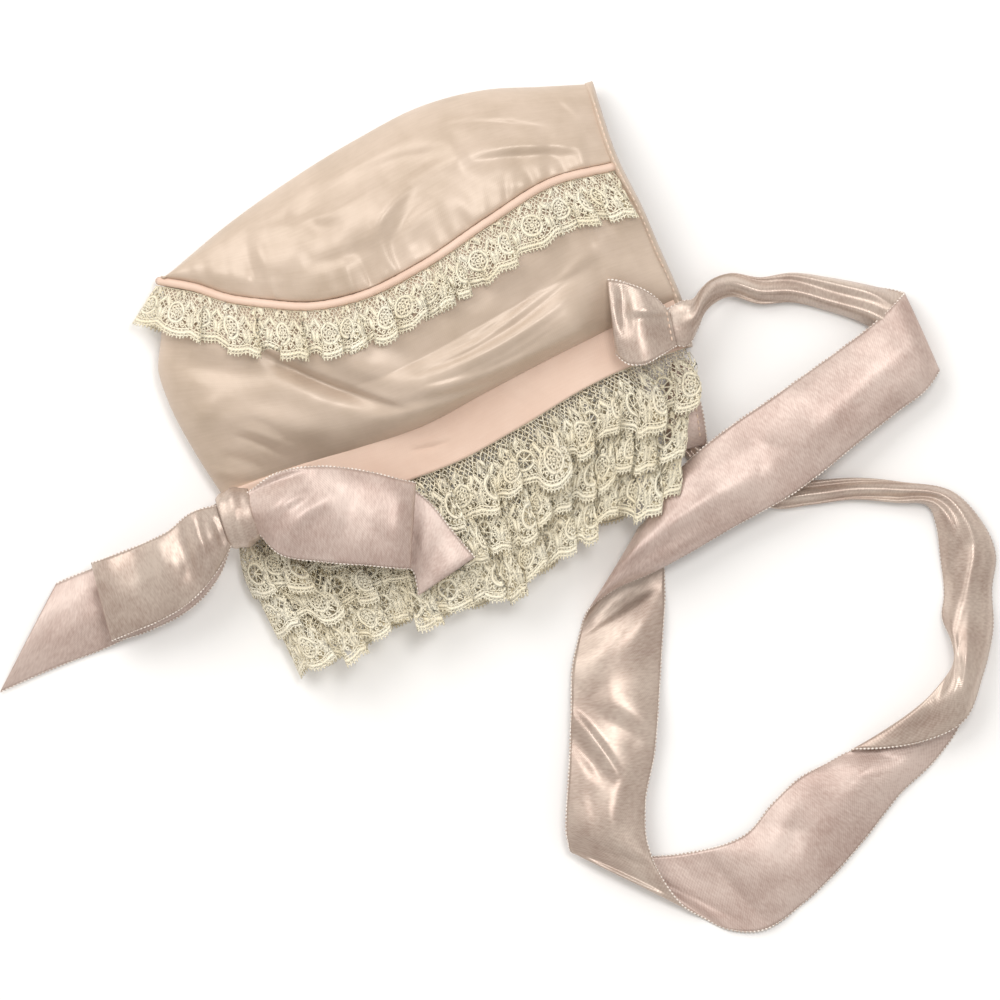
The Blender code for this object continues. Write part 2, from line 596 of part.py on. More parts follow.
def build():
    """Makes every piece of the bonnet."""
    clear_scene()
    silk = material("Peach silk", (0.83, 0.66, 0.57), 0.5)
    band_silk = material("Pink peach silk", (0.84, 0.62, 0.52), 0.55)
    lace = material("Cream cotton lace", (0.74, 0.68, 0.52), 0.9)
    satin = material("Dusty pink satin", (0.69, 0.50, 0.45), 0.35)
    crown_panel(silk)
    side_panel(silk)
    crown_piping(band_silk)
    crown_lace(lace)
    face_band(band_silk)
    for row in range(3):
        face_lace(row, lace)
    nape_binding(band_silk)
    bow_knot(satin)
    ribbon("bow_loop_right", BOW_LOOP_RIGHT, satin, 20)
    ribbon("bow_loop_left", BOW_LOOP_LEFT, satin, 20)
    ribbon("bow_tail_right", BOW_TAIL_RIGHT, satin, 10, 3)
    ribbon("bow_tail_left", BOW_TAIL_LEFT, satin, 10, 3)
    ribbon("chin_loop", CHIN_LOOP, satin, 18, 3)
    ribbon("chin_loop_hidden", CHIN_LOOP_HIDDEN, satin, 18, 3)
    ribbon("chin_ribbon", CHIN_RIBBON, satin, 100, 4)


build()
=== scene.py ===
import bpy
import numpy as np
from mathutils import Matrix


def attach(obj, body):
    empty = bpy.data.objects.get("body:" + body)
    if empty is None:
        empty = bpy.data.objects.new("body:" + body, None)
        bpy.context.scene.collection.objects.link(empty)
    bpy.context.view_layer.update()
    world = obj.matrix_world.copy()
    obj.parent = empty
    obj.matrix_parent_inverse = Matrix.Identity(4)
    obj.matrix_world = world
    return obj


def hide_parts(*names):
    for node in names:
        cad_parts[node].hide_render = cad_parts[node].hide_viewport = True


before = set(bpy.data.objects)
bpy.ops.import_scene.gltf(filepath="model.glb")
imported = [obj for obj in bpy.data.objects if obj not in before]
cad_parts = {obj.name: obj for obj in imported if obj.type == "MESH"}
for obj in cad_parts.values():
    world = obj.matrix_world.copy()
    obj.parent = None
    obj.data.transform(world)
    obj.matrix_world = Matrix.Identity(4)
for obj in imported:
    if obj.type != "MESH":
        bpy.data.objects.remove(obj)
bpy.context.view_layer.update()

# Camera, straight above the bonnet as in the photo, far off through a long lens so that the
# raised cloth keeps its place. Lengths are in millimetres. The tables of the pieces count from the
# middle of the picture, which lies at minus ORIGIN in the part's own frame.
MM = 0.001
ORIGIN = np.array([-0.52, -1.74, 0.0])
PHOTO_WIDTH = 310.0
CAMERA_HEIGHT = 3000.0
SENSOR_WIDTH = 36.0
camera_data = bpy.data.cameras.new("Camera")
camera_data.sensor_width = SENSOR_WIDTH
camera_data.lens = SENSOR_WIDTH * CAMERA_HEIGHT / PHOTO_WIDTH
camera_data.clip_end = 20.0
camera = bpy.data.objects.new("Camera", camera_data)
camera.location = (*(-ORIGIN[:2] * MM), CAMERA_HEIGHT * MM)
bpy.context.scene.collection.objects.link(camera)
bpy.context.scene.camera = camera


# Floor and light: a plain white table and an even pale surround. A large soft light on the upper
# left shapes the folds, and a smaller one nearly overhead draws the broad highlights of the silk
# and the bright streaks of the satin.
bpy.context.scene.view_settings.view_transform = "Standard"


def linear(hex_colour):
    """A colour written in sRGB hex as the linear values of a shader."""
    value = np.array([int(hex_colour[k:k + 2], 16) for k in (1, 3, 5)]) / 255
    low = value / 12.92
    high = ((value + 0.055) / 1.055) ** 2.4
    return (*np.where(value <= 0.04045, low, high).tolist(), 1.0)


def new_material(name, roughness, **sockets):
    """A material with its Principled shader, whose sockets are set by name."""
    made = bpy.data.materials.new(name)
    made.use_nodes = True
    shader = made.node_tree.nodes["Principled BSDF"]
    shader.inputs["Roughness"].default_value = roughness
    for key, value in sockets.items():
        shader.inputs[key.replace("_", " ").title()].default_value = value
    return made, made.node_tree, shader


# Matt white laminate: an even white that takes only a soft shadow.
floor_material, _, floor_shader = new_material("White table", 0.9)
floor_shader.inputs["Base Color"].default_value = linear("#FBF9F7")
FLOOR_HALF = 3.0
FLOOR_DROP = 0.0003
FLOOR_CORNERS = ((-1, -1), (1, -1), (1, 1), (-1, 1))
floor_mesh = bpy.data.meshes.new("Floor")
floor_points = [(x * FLOOR_HALF, y * FLOOR_HALF, -FLOOR_DROP) for x, y in FLOOR_CORNERS]
floor_mesh.from_pydata(floor_points, [], [(0, 1, 2, 3)])
floor_mesh.materials.append(floor_material)
floor = bpy.data.objects.new("Floor", floor_mesh)
bpy.context.scene.collection.objects.link(floor)

world = bpy.data.worlds.new("Surround")
world.use_nodes = True
world.node_tree.nodes["Background"].inputs["Color"].default_value = linear("#FFFDFA")
world.node_tree.nodes["Background"].inputs["Strength"].default_value = 0.66
bpy.context.scene.world = world

LIGHTS = (
    # name, x, y, z in m, width, height in m, power in W
    ("Key light", -0.72, 0.80, 0.95, 1.00, 1.00, 10.0),
    ("Top light", 0.22, 0.34, 1.30, 0.38, 0.38, 5.5),
)
for name, x, y, z, width, height, power in LIGHTS:
    lamp = bpy.data.lights.new(name, "AREA")
    lamp.shape = "RECTANGLE"
    lamp.size = width
    lamp.size_y = height
    lamp.energy = power
    holder = bpy.data.objects.new(name, lamp)
    holder.location = (x, y, z)
    away = np.array([x, y, z]) / np.linalg.norm([x, y, z])
    holder.rotation_euler = (np.arccos(away[2]), 0.0, np.arctan2(away[0], -away[1]))
    bpy.context.scene.collection.objects.link(holder)


# Crown panel: the half moon of champagne silk over the back of the head, one sheet doubled on
# the centre back fold. Its long edge is gathered a little into the piped seam, which draws
# short puckers up into the silk.
SILK = 1.2
SILK_SHEET = 0.5
GAP = 0.35
PIPING_RADIUS = 1.3
PIPING_CLEARANCE = 0.12
SEAM = (
    # x, y, z of the seam on the upper half, from the tip to the nape
    (-103.5, 67.4, 8.0),
    (-94.6, 65.7, 11.0),
    (-84.3, 62.3, 14.5),
    (-72.2, 60.5, 18.0),
    (-58.0, 59.6, 21.5),
    (-44.0, 62.3, 24.0),
    (-24.0, 71.9, 26.0),
    (-3.7, 85.6, 25.0),
    (16.4, 98.0, 21.0),
    (35.2, 102.8, 16.6),
)
TOP_FOLD = (
    # x, y, z of the centre back fold, from the tip to the nape
    (-102.6, 69.6, 8.6),
    (-84.3, 84.9, 10.0),
    (-64.2, 99.2, 11.0),
    (-44.0, 111.6, 12.0),
    (-23.9, 121.8, 12.0),
    (-3.7, 126.8, 11.5),
    (12.0, 127.6, 11.0),
    (27.0, 128.4, 9.4),
)
CROWN_FOLD_HEIGHT = 5.0
CROWN_DOME = 5.0
CROWN_TIP_LAP = 0.012
UP = np.array([0.0, 0.0, 1.0])


def unit(vectors, least=0.0):
    """Vectors divided by their lengths, and by a little more where some may have no length."""
    return vectors / (np.linalg.norm(vectors, axis=-1, keepdims=True) + least)


def distances(path):
    """How far each point of a path lies from its start, along the path."""
    return np.concatenate([[0.0], np.cumsum(np.linalg.norm(np.diff(path, axis=0), axis=1))])


def smooth(rows, at):
    """Values at the shares of the way along a table, on cubic pieces through its rows."""
    rows = np.array(rows, float)
    at = np.asarray(at, float)
    gaps = np.linalg.norm(np.diff(rows[:, :6], axis=0), axis=1)
    way = np.concatenate([[0.0], np.cumsum(gaps)]) / gaps.sum()
    slopes = np.gradient(rows, way, axis=0)
    piece = np.clip(np.searchsorted(way, at, side="right") - 1, 0, len(gaps) - 1)
    span = (way[piece + 1] - way[piece])[:, None]
    part = (at - way[piece])[:, None] / span
    start = (1 + 2 * part) * (1 - part) ** 2 * rows[piece] + part * (1 - part) ** 2 * span * slopes[piece]
    end = part ** 2 * (3 - 2 * part) * rows[piece + 1] - part ** 2 * (1 - part) * span * slopes[piece + 1]
    return start + end


def short_run(rows, at):
    """The step that a table's smooth line makes near a share of its way."""
    at = np.clip(at, 0, 1)
    return smooth(rows, np.clip(at + 0.01, 0, 1)) - smooth(rows, np.clip(at - 0.01, 0, 1))


def edge(rows, at, shift=0.0):
    """The smooth line of a table, moved sideways in plan, to its left where shift is positive."""
    run = short_run(rows, at)
    left = unit(np.stack([-run[:, 1], run[:, 0], np.zeros(len(run))], axis=1))
    return smooth(rows, at) + shift * left


def step_up(value, low, high):
    """Rises softly from 0 at low to 1 at high."""
    part = np.clip((value - low) / (high - low), 0, 1)
    return part * part * (3 - 2 * part)


def round_fold(arc, arc_steps, flat_steps, lower_reach=1.0):
    """Stations round a fold, from the far edge of the lower half to that of the upper half.

    Gives each one's share of the way from the fold, its rise (1 on the upper half, -1 on the
    lower half, a sine between) and its outward part (a cosine that is 1 on the fold itself).
    """
    turn = np.linspace(0, np.pi / 2, arc_steps + 1)
    flat = np.linspace(0, 1, flat_steps + 1)[1:]
    bend = arc * (1 - np.cos(turn))
    lower = arc + (lower_reach - arc) * flat
    share = np.concatenate([lower[::-1], bend[:0:-1], bend, arc + (1 - arc) * flat])
    rise = np.concatenate([-np.ones(flat_steps), -np.sin(turn[:0:-1]), np.sin(turn), np.ones(flat_steps)])
    out = np.concatenate([np.zeros(flat_steps), np.cos(turn[:0:-1]), np.cos(turn), np.zeros(flat_steps)])
    return share, rise, out


def folded_height(lower, fold, upper, rise):
    """Height on a folded sheet: the fold's own, pulled up or down by the rise."""
    return fold + np.maximum(rise, 0) * (upper - fold) + np.minimum(rise, 0) * (fold - lower)


def waves(grid, rows):
    """Sum of long soft waves: each row is a sine across its own direction, bent by a second one."""
    total = np.zeros(grid.shape[:2])
    for angle, length, height, phase, bend in rows:
        turn = np.radians(angle)
        across = grid[..., 0] * np.cos(turn) + grid[..., 1] * np.sin(turn)
        along = grid[..., 1] * np.cos(turn) - grid[..., 0] * np.sin(turn)
        wander = bend * np.sin(along / (2.1 * length) * 2 * np.pi + phase)
        swell = 0.55 + 0.45 * np.sin(along / (3.3 * length) * 2 * np.pi + 2 * phase)
        total += height * swell * np.sin((across + wander) / length * 2 * np.pi + phase)
    return total


def creases(grid, rows):
    """Sum of single folds: a bell across a line that bows to its left by a parabola, sharper on
    its left side by the last column, and fading out towards both ends with a sine."""
    total = np.zeros(grid.shape[:2])
    for x0, y0, x1, y1, bow, half_width, height, skew in rows:
        run = np.array([x1 - x0, y1 - y0])
        length = np.hypot(*run)
        ahead = ((grid[..., 0] - x0) * run[0] + (grid[..., 1] - y0) * run[1]) / length ** 2
        aside = ((grid[..., 1] - y0) * run[0] - (grid[..., 0] - x0) * run[1]) / length
        aside = aside - bow * (1 - (2 * ahead - 1) ** 2)
        width = half_width * np.where(aside > 0, 1 - skew, 1 + skew)
        total += height * np.sin(np.pi * np.clip(ahead, 0, 1)) ** 0.8 * np.exp(-(aside / width) ** 2)
    return total


def make_mesh(name, points, faces, materials, uv):
    """A mesh object from arrays in mm, set in the part's frame, with its UV map in mm."""
    mesh = bpy.data.meshes.new(name)
    mesh.vertices.add(len(points))
    mesh.vertices.foreach_set("co", ((points - ORIGIN) * MM).astype(np.float32).ravel())
    corners = faces.shape[1]
    mesh.loops.add(faces.size)
    mesh.loops.foreach_set("vertex_index", faces.astype(np.int32).ravel())
    mesh.polygons.add(len(faces))
    mesh.polygons.foreach_set("loop_start", np.arange(0, faces.size, corners, dtype=np.int32))
    mesh.update(calc_edges=True)
    mesh.validate()
    layer = mesh.uv_layers.new(name="Cloth")
    layer.data.foreach_set("uv", uv[faces.ravel()].astype(np.float32).ravel())
    mesh.shade_smooth()
    for look in materials:
        mesh.materials.append(look)
    made = bpy.data.objects.new(name, mesh)
    bpy.context.scene.collection.objects.link(made)
    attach(made, "root")
    return made


def cloth(name, grid, thickness, face, back=None, uv=None):
    """A sheet of cloth from a grid of points, thickened to both sides, with a face and a back."""
    rows, columns = grid.shape[:2]
    index = np.arange(rows * columns).reshape(rows, columns)
    corners = (index[:-1, :-1], index[1:, :-1], index[1:, 1:], index[:-1, 1:])
    faces = np.stack([corner.ravel() for corner in corners], axis=1)
    if uv is None:
        steps = [np.linalg.norm(np.diff(grid, axis=k), axis=2).mean(axis=1 - k) for k in (0, 1)]
        along, across = (np.concatenate([[0.0], np.cumsum(step)]) for step in steps)
        uv = np.stack(np.meshgrid(along, across, indexing="ij"), axis=2)
    looks = [face, back or face]
    piece = make_mesh(name, grid.reshape(-1, 3), faces, looks, uv.reshape(-1, 2))
    solid = piece.modifiers.new("Thickness", "SOLIDIFY")
    solid.thickness = thickness * MM
    solid.offset = 0.0
    solid.material_offset = 1
    return piece


def add(tree, kind, inputs, **settings):
    """Adds a shader node, sets its settings, and sets or links its inputs."""
    made = tree.nodes.new(kind)
    for key, value in settings.items():
        setattr(made, key, value)
    for key, value in inputs.items():
        if isinstance(value, bpy.types.NodeSocket):
            tree.links.new(value, made.inputs[key])
        else:
            made.inputs[key].default_value = value
    return made


WAVE_TURN = 0.31395
WEAVE_PITCH = 0.604


def silk(name, light, dark, roughness, sheen, weave_height, metal=0.0):
    """Plain woven silk: fine warp and weft, thicker threads here and there, and slow colour drift.

    A wave texture repeats every WAVE_TURN divided by its scale. The weave is 0.6 mm apart, coarser
    than real silk, so that it shows. Thick threads lie 0.6 mm apart too, and the colour drifts
    over 20 mm.
    """
    sockets = {"sheen_weight": sheen, "sheen_roughness": 0.4, "metallic": metal}
    made, tree, shader = new_material(name, roughness, **sockets)
    shader.inputs["Specular IOR Level"].default_value = 0.5
    place = add(tree, "ShaderNodeUVMap", {}, uv_map="Cloth").outputs["UV"]
    slow = {"Vector": place, "Scale": 0.045, "Detail": 4.0, "Roughness": 0.6}
    drift = add(tree, "ShaderNodeTexNoise", slow)
    drawn = add(tree, "ShaderNodeMapping", {"Vector": place, "Scale": (0.12, 1.6, 1.0)})
    slub = add(tree, "ShaderNodeTexNoise", {"Vector": drawn.outputs[0], "Scale": 1.0, "Detail": 2.0})
    faint = add(tree, "ShaderNodeMath", {0: slub.outputs[0], 1: 0.25}, operation="MULTIPLY")
    both = add(tree, "ShaderNodeMath", {0: drift.outputs[0], 1: faint.outputs[0]}, operation="ADD")
    spread = add(tree, "ShaderNodeMapRange", {"Value": both.outputs[0], "From Min": 0.42, "From Max": 0.82})
    colours = {0: spread.outputs[0], 6: linear(dark), 7: linear(light)}
    colour = add(tree, "ShaderNodeMix", colours, data_type="RGBA")
    tree.links.new(colour.outputs[2], shader.inputs["Base Color"])
    lines = {"Vector": place, "Scale": WAVE_TURN / WEAVE_PITCH}
    warp = add(tree, "ShaderNodeTexWave", lines, bands_direction="X").outputs["Fac"]
    weft = add(tree, "ShaderNodeTexWave", lines, bands_direction="Y").outputs["Fac"]
    weave = add(tree, "ShaderNodeMath", {0: warp, 1: weft}, operation="MULTIPLY")
    relief = add(tree, "ShaderNodeMath", {0: faint.outputs[0], 1: weave.outputs[0]}, operation="ADD")
    raised = {"Height": relief.outputs[0], "Strength": 1.0, "Distance": weave_height}
    bump = add(tree, "ShaderNodeBump", raised)
    tree.links.new(bump.outputs[0], shader.inputs["Normal"])
    return made


# Champagne silk: a soft lustre on the folds, with a trace of metal for its depth.
panel_silk = silk("Champagne silk", "#CEBAA8", "#BBA793", 0.38, 0.10, 0.000010, 0.10)

crown_along = np.linspace(-CROWN_TIP_LAP, 1, 200)
crown_seam = edge(SEAM, crown_along, PIPING_RADIUS + PIPING_CLEARANCE)
crown_top = smooth(TOP_FOLD, crown_along)
crown_share, crown_rise, _ = round_fold(0.2, 10, 62)
crown = crown_top[:, None] + crown_share[None, :, None] * (crown_seam - crown_top)[:, None]
crown_arch = np.sin(np.pi * np.clip(crown_along, 0, 1)) ** 0.7
crown_swell = np.sin(np.pi * crown_share)[None, :] * crown_arch[:, None]
CROWN_WAVES = (
    # direction, length, height, phase, bend
    (118.0, 46.0, 1.05, 0.4, 11.0),
    (140.0, 27.0, 0.55, 2.1, 9.0),
    (100.0, 16.0, 0.26, 4.0, 6.0),
    (62.0, 33.0, 0.50, 1.2, 9.0),
    (84.0, 9.0, 0.05, 0.0, 4.0),
)
CROWN_CREASES = (
    # from x, y, to x, y, bow to the left, half width, height, skew
    (-70.4, 68.7, -75.5, 87.0, 1.5, 2.4, 0.70, 0.2),
    (-75.9, 82.5, -34.2, 97.9, -2.5, 2.3, 1.00, 0.3),
    (-51.7, 95.6, -14.4, 107.8, 2.0, 3.6, -1.50, 0.3),
    (-40.0, 85.1, -9.7, 106.1, 3.0, 2.8, 1.10, 0.2),
    (-15.5, 105.8, 31.0, 107.4, 2.6, 1.9, 1.00, 0.2),
    (-12.0, 102.6, 27.0, 105.4, 2.0, 2.2, -1.00, 0.2),
    (-19.0, 115.6, 17.0, 114.0, 1.4, 1.1, -0.60, 0.2),
    (-20.0, 118.2, 19.0, 116.6, 1.4, 1.6, 0.45, 0.0),
    (12.5, 128.0, 34.0, 110.8, -1.0, 1.2, -0.65, 0.2),
    (18.5, 125.6, 35.0, 106.6, -1.0, 1.4, 0.60, 0.0),
    (-92.4, 74.7, -70.0, 99.9, 2.0, 4.2, 1.00, 0.2),
    (-40.6, 77.0, -27.4, 96.6, 2.0, 1.9, 0.90, 0.2),
    (-34.0, 77.6, -20.4, 93.4, 2.0, 2.2, -0.90, 0.0),
    (-60.7, 71.8, -38.0, 79.0, -1.0, 2.6, -1.00, 0.0),
    (-90.0, 70.5, -64.0, 66.4, -1.0, 2.4, 0.55, 0.0),
    (-66.0, 88.0, -48.0, 84.0, -1.5, 3.0, -0.80, 0.0),
    (-4.0, 96.0, 24.0, 100.6, -1.0, 2.4, 0.55, 0.0),
)
crown_relief = waves(crown, CROWN_WAVES) + creases(crown, CROWN_CREASES)
crown_relief *= np.sin(np.pi * crown_share)[None, :] ** 0.4 * (1 - crown_along[:, None] ** 16)
from_seam = np.linalg.norm(crown_seam - crown_top, axis=1)[:, None] * (1 - crown_share[None, :])
PUCKERS = 26
SEAM_LENGTH = 150.0
pucker_rng = np.random.default_rng(11)
for start in np.cumsum(pucker_rng.uniform(3.0, 8.0, PUCKERS)):
    height = pucker_rng.uniform(0.25, 1.15) * pucker_rng.choice([-1, 1], p=[0.4, 0.6])
    width = pucker_rng.uniform(0.7, 1.9)
    reach = pucker_rng.uniform(5.0, 16.0)
    lean = pucker_rng.uniform(-0.3, 0.3)
    aside = (crown_along[:, None] * SEAM_LENGTH - start - lean * from_seam) / (width + 0.10 * from_seam)
    fading = np.exp(-from_seam / reach) * (1 - np.exp(-from_seam / 0.9))
    crown_relief += height * np.exp(-aside ** 2) * fading
crown_relief -= 0.8 * np.exp(-from_seam / 0.8)
crown_upper = crown[..., 2] + CROWN_DOME * crown_swell + crown_relief * step_up(crown_share, 0.0, 0.2)
crown_fold = np.full((len(crown_along), 1), CROWN_FOLD_HEIGHT)
crown[..., 2] = folded_height(SILK / 2, crown_fold, crown_upper, crown_rise[None, :])
crown_piece = cloth("crown_silk", crown, SILK_SHEET, panel_silk)
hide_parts("crown_panel")



# Side panel: the long piece of the same silk over the head, doubled at the top of the head. It
# is cut longer than the band, so its lower edge bags over the band, and a deep valley and long
# soft creases run up from it.
BAND_THICK = 2.0
BAND_SEAM = -0.7
NAPE_TURN = 2.5
CROWN_LACE_DEPTH = 15.5
LACE = 1.0
SEAM_DIP = 1.0
LEFT_FOLD = (
    # x, y, z at the top of the head, from the crown seam to the face band
    (-104.6, 50.7, 13.0),
    (-105.4, 39.7, 13.0),
    (-102.6, 31.0, 13.0),
    (-94.6, 15.5, 12.0),
)
BAND_TOP = (
    # x, y, z of the band's upper edge, from the fold to the chin corner
    (-85.9, 2.2, 9.5),
    (-60.1, 11.5, 11.0),
    (-36.0, 19.2, 12.0),
    (-23.9, 23.8, 12.5),
    (-3.7, 34.6, 12.5),
    (16.4, 45.1, 12.0),
    (32.9, 53.2, 11.5),
    (54.4, 62.6, 11.0),
)
NAPE = (
    # x, y, z of the stitched line inside the nape edge, from the centre back to the chin corner
    (24.9, 127.7, 9.5),
    (33.4, 102.4, 17.0),
    (40.2, 89.0, 16.5),
    (45.8, 76.0, 14.5),
    (49.8, 67.2, 12.8),
    (52.6, 60.4, 12.2),
    (55.8, 46.6, 11.0),
)
SIDE_FOLD_HEIGHT = 6.0
SIDE_DOME = 4.5
BILLOW_HEIGHT = 5.2
BILLOW_OVERHANG = 0.8
BILLOW_SPAN = 0.42
SIDE_WAVES = (
    # direction, length, height, phase, bend
    (118.0, 36.0, 0.55, 0.9, 8.0),
    (127.0, 21.0, 0.28, 2.6, 6.0),
    (108.0, 11.0, 0.10, 5.0, 4.0),
    (75.0, 40.0, 0.45, 3.3, 9.0),
)
SIDE_CREASES = (
    # from x, y, to x, y, bow to the left, half width, height, skew
    (-82.0, 51.0, -28.0, 28.0, -2.4, 2.5, -5.2, 0.55),
    (-58.0, 48.0, -6.0, 37.0, -5.0, 4.6, 2.4, -0.2),
    (-103.0, 43.4, -64.0, 38.0, -1.0, 4.4, -2.4, 0.0),
    (-97.0, 26.6, -42.0, 18.0, 1.5, 4.6, 2.0, 0.0),
    (-42.4, 25.0, 24.0, 48.2, -3.2, 1.5, 1.00, 0.2),
    (-36.4, 29.6, 25.0, 51.6, -3.8, 1.4, -1.10, 0.2),
    (-31.7, 33.9, 27.0, 56.3, -4.2, 1.5, 0.90, 0.2),
    (-24.0, 35.4, 20.0, 57.0, -3.6, 1.0, -0.60, 0.0),
    (8.6, 43.4, 29.8, 55.2, -0.8, 1.3, -1.20, 0.3),
    (-22.4, 38.0, 26.3, 71.6, -4.4, 2.6, 1.10, 0.2),
    (-10.7, 47.0, 29.8, 76.4, -3.0, 2.0, -0.95, 0.2),
    (-2.0, 52.0, 36.0, 84.0, -2.0, 2.0, 0.60, 0.0),
    (-82.0, 20.2, -64.7, 12.2, 0.8, 1.0, -1.00, 0.2),
    (-81.0, 22.6, -62.4, 14.8, 0.9, 1.1, 0.85, 0.0),
    (-79.0, 25.4, -66.0, 19.6, 1.0, 1.2, -0.50, 0.0),
    (-95.0, 20.6, -82.0, 33.0, 2.0, 2.6, 0.80, 0.0),
    (22.0, 90.0, 34.0, 60.0, 2.0, 2.4, -0.70, 0.2),
    (34.0, 84.0, 46.0, 64.0, 1.0, 1.8, 0.55, 0.0),
    (-93.0, 9.6, -77.0, 6.4, 0.5, 1.6, 1.00, 0.2),
    (-86.0, 14.4, -72.0, 8.6, 0.6, 1.7, -1.20, 0.0),
    (-30.0, 26.0, 22.0, 50.0, -2.0, 3.4, -1.10, 0.0),
    (-33.6, 33.0, 20.0, 59.4, -3.8, 0.9, -0.50, 0.0),
    (-30.0, 36.6, 22.0, 64.0, -3.6, 0.9, 0.50, 0.0),
    (-28.0, 38.6, 20.0, 66.4, -3.4, 0.8, -0.45, 0.0),
    (-26.0, 40.4, 16.0, 67.0, -3.0, 0.9, 0.45, 0.0),
    (-20.0, 44.0, 12.0, 66.0, -2.4, 0.8, -0.40, 0.0),
)


def four_sided(near, far, left, right, across, down):
    """Surface filled between four edges: the sum of both rulings less the corners' bilinear one."""
    across = across[:, None, None]
    down = down[None, :, None]
    ruled = (1 - down) * near[:, None] + down * far[:, None]
    crossed = (1 - across) * left[None] + across * right[None]
    top = (1 - across) * left[0] + across * right[0]
    low = (1 - across) * left[-1] + across * right[-1]
    return ruled + crossed - (1 - down) * top - down * low


ENDS = np.array([0.0, 1.0])


def side_surface(share, down):
    """Upper half of the side panel, still smooth: a four-sided patch with a sine dome on it."""
    seam, seam_ends = (edge(SEAM, at, -(PIPING_RADIUS + 0.1)) for at in (share, ENDS))
    band, band_ends = (edge(BAND_TOP, at, BAND_SEAM) for at in (share, ENDS))
    nape_rows = np.array(NAPE[2:5]) + [NAPE_TURN, 0.0, 0.0]
    head = smooth([seam_ends[0], *LEFT_FOLD, band_ends[0]], down)
    nape = smooth([seam_ends[1], *nape_rows, band_ends[1]], down)
    surface = four_sided(seam, band, head, nape, share, down)
    swell = np.sin(np.pi * share)[:, None] ** 0.6 * np.sin(np.pi * np.clip(down, 0, 1))[None, :]
    surface[..., 2] += SIDE_DOME * swell
    return surface


def side_silk_grid(share, rise, down):
    """The whole side panel: the upper half with its sag over the band, and the pressed lower half.

    The sag is a half sine over the stretch above the band, on a root so that it is steep beside
    the band. The seam edge dips to the middle of the piping, and the other one tucks into the band.
    """
    grid = side_surface(share, down)
    sit = step_up(share, 0.12, 0.30)[:, None] * np.maximum(rise, 0)[:, None]
    spill = step_up(share, 0.30, 0.45) * (1 - step_up(share, 0.78, 0.88)) * np.maximum(rise, 0)
    slack = np.clip((1 - down) / BILLOW_SPAN, 0, 1) ** 0.62
    puff = spill[:, None] * np.sin(np.pi * slack)[None, :]
    relief = waves(grid, SIDE_WAVES) + creases(grid, SIDE_CREASES)
    relief *= np.sin(np.pi * np.clip(down, 0, 1))[None, :] ** 0.5 * (1 - share[:, None] ** 16)
    depth = np.linalg.norm(grid[:, -1, :2] - grid[:, 0, :2], axis=1)
    relief -= SEAM_DIP * np.exp(-down[None, :] * depth[:, None] / 1.6)
    tuck = 1 - np.exp(-(1 - down)[None, :] * depth[:, None] / 1.5)
    upper = grid[..., 2] + sit * ((BAND_THICK + SILK) / 2 + GAP) * (1 - slack)[None, :] * tuck
    upper += BILLOW_HEIGHT * puff + relief
    outward = edge(BAND_TOP, share, -1.0)[:, :2] - edge(BAND_TOP, share, 0.0)[:, :2]
    grid[..., :2] += BILLOW_OVERHANG * puff[..., None] * outward[:, None]
    reach = (CROWN_LACE_DEPTH / depth)[:, None]
    lower = SILK / 2 + (LACE + GAP) * (1 - step_up(down[None, :], reach + 0.04, reach + 0.2))
    grid[..., 2] = folded_height(lower, SIDE_FOLD_HEIGHT, upper, rise[:, None])
    return grid


side_share, side_rise, _ = round_fold(0.09, 12, 138)
side_down = 1 - (1 - np.linspace(0, 1, 100)) ** 1.35
side_grid = side_silk_grid(side_share, side_rise, side_down)
side_piece = cloth("side_silk", side_grid, SILK_SHEET, panel_silk)
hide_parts("side_panel")


# Piping: a cord covered in a strip of the band's pinker silk and sewn into the crown seam of
# both halves, bent round the tip. The cover is a little uneven along the cord.
PIPING_FOLD_REACH = np.array([-1.9, 0.4])
TRIM_FOLD_HEIGHT = 5.0

# Pink peach silk: the same weave pressed flat, duller, with only a bloom of light on it.
trim_silk = silk("Pink peach silk", "#E4C8B5", "#DABBA7", 0.6, 0.15, 0.000012)


def halves(quads):
    """Each four-sided face as two triangles."""
    return np.concatenate([quads[:, :3], quads[:, [0, 2, 3]]])


def tube(name, path, radius, look, sides=12, ripple=0.0):
    """A round cord along a path: rings square to it, with closed ends and a slight ripple."""
    run = unit(np.gradient(path, axis=0))
    level = unit(np.cross(run, UP) + np.array([1e-6, 1e-6, 0.0]))
    upright = np.cross(level, run)
    turn = np.linspace(0, 2 * np.pi, sides, endpoint=False)
    way = distances(path)
    reach = np.broadcast_to(radius, len(path))[:, None] * (
        1 + ripple * np.sin(way[:, None] * 1.7 + turn[None, :]) * np.sin(way * 0.41)[:, None]
    )
    rings = path[:, None] + reach[..., None] * (
        np.cos(turn)[None, :, None] * level[:, None] + np.sin(turn)[None, :, None] * upright[:, None]
    )
    count = len(path)
    index = np.arange(count * sides).reshape(count, sides)
    around = np.roll(index, -1, axis=1)
    walls = np.stack([index[:-1], index[1:], around[1:], around[:-1]], axis=2).reshape(-1, 4)
    faces = [halves(walls)]
    for ring, centre in ((index[0], count * sides), (index[-1][::-1], count * sides + 1)):
        faces.append(np.stack([np.full(sides, centre), ring, np.roll(ring, -1)], axis=1))
    points = np.concatenate([rings.reshape(-1, 3), path[[0, -1]]])
    across = np.broadcast_to(turn * np.mean(radius), (count, sides))
    uv = np.stack([np.broadcast_to(way[:, None], (count, sides)), across], axis=2).reshape(-1, 2)
    uv = np.concatenate([uv, [[0.0, 0.0], [way[-1], 0.0]]])
    return make_mesh(name, points, np.concatenate(faces), [look], uv)


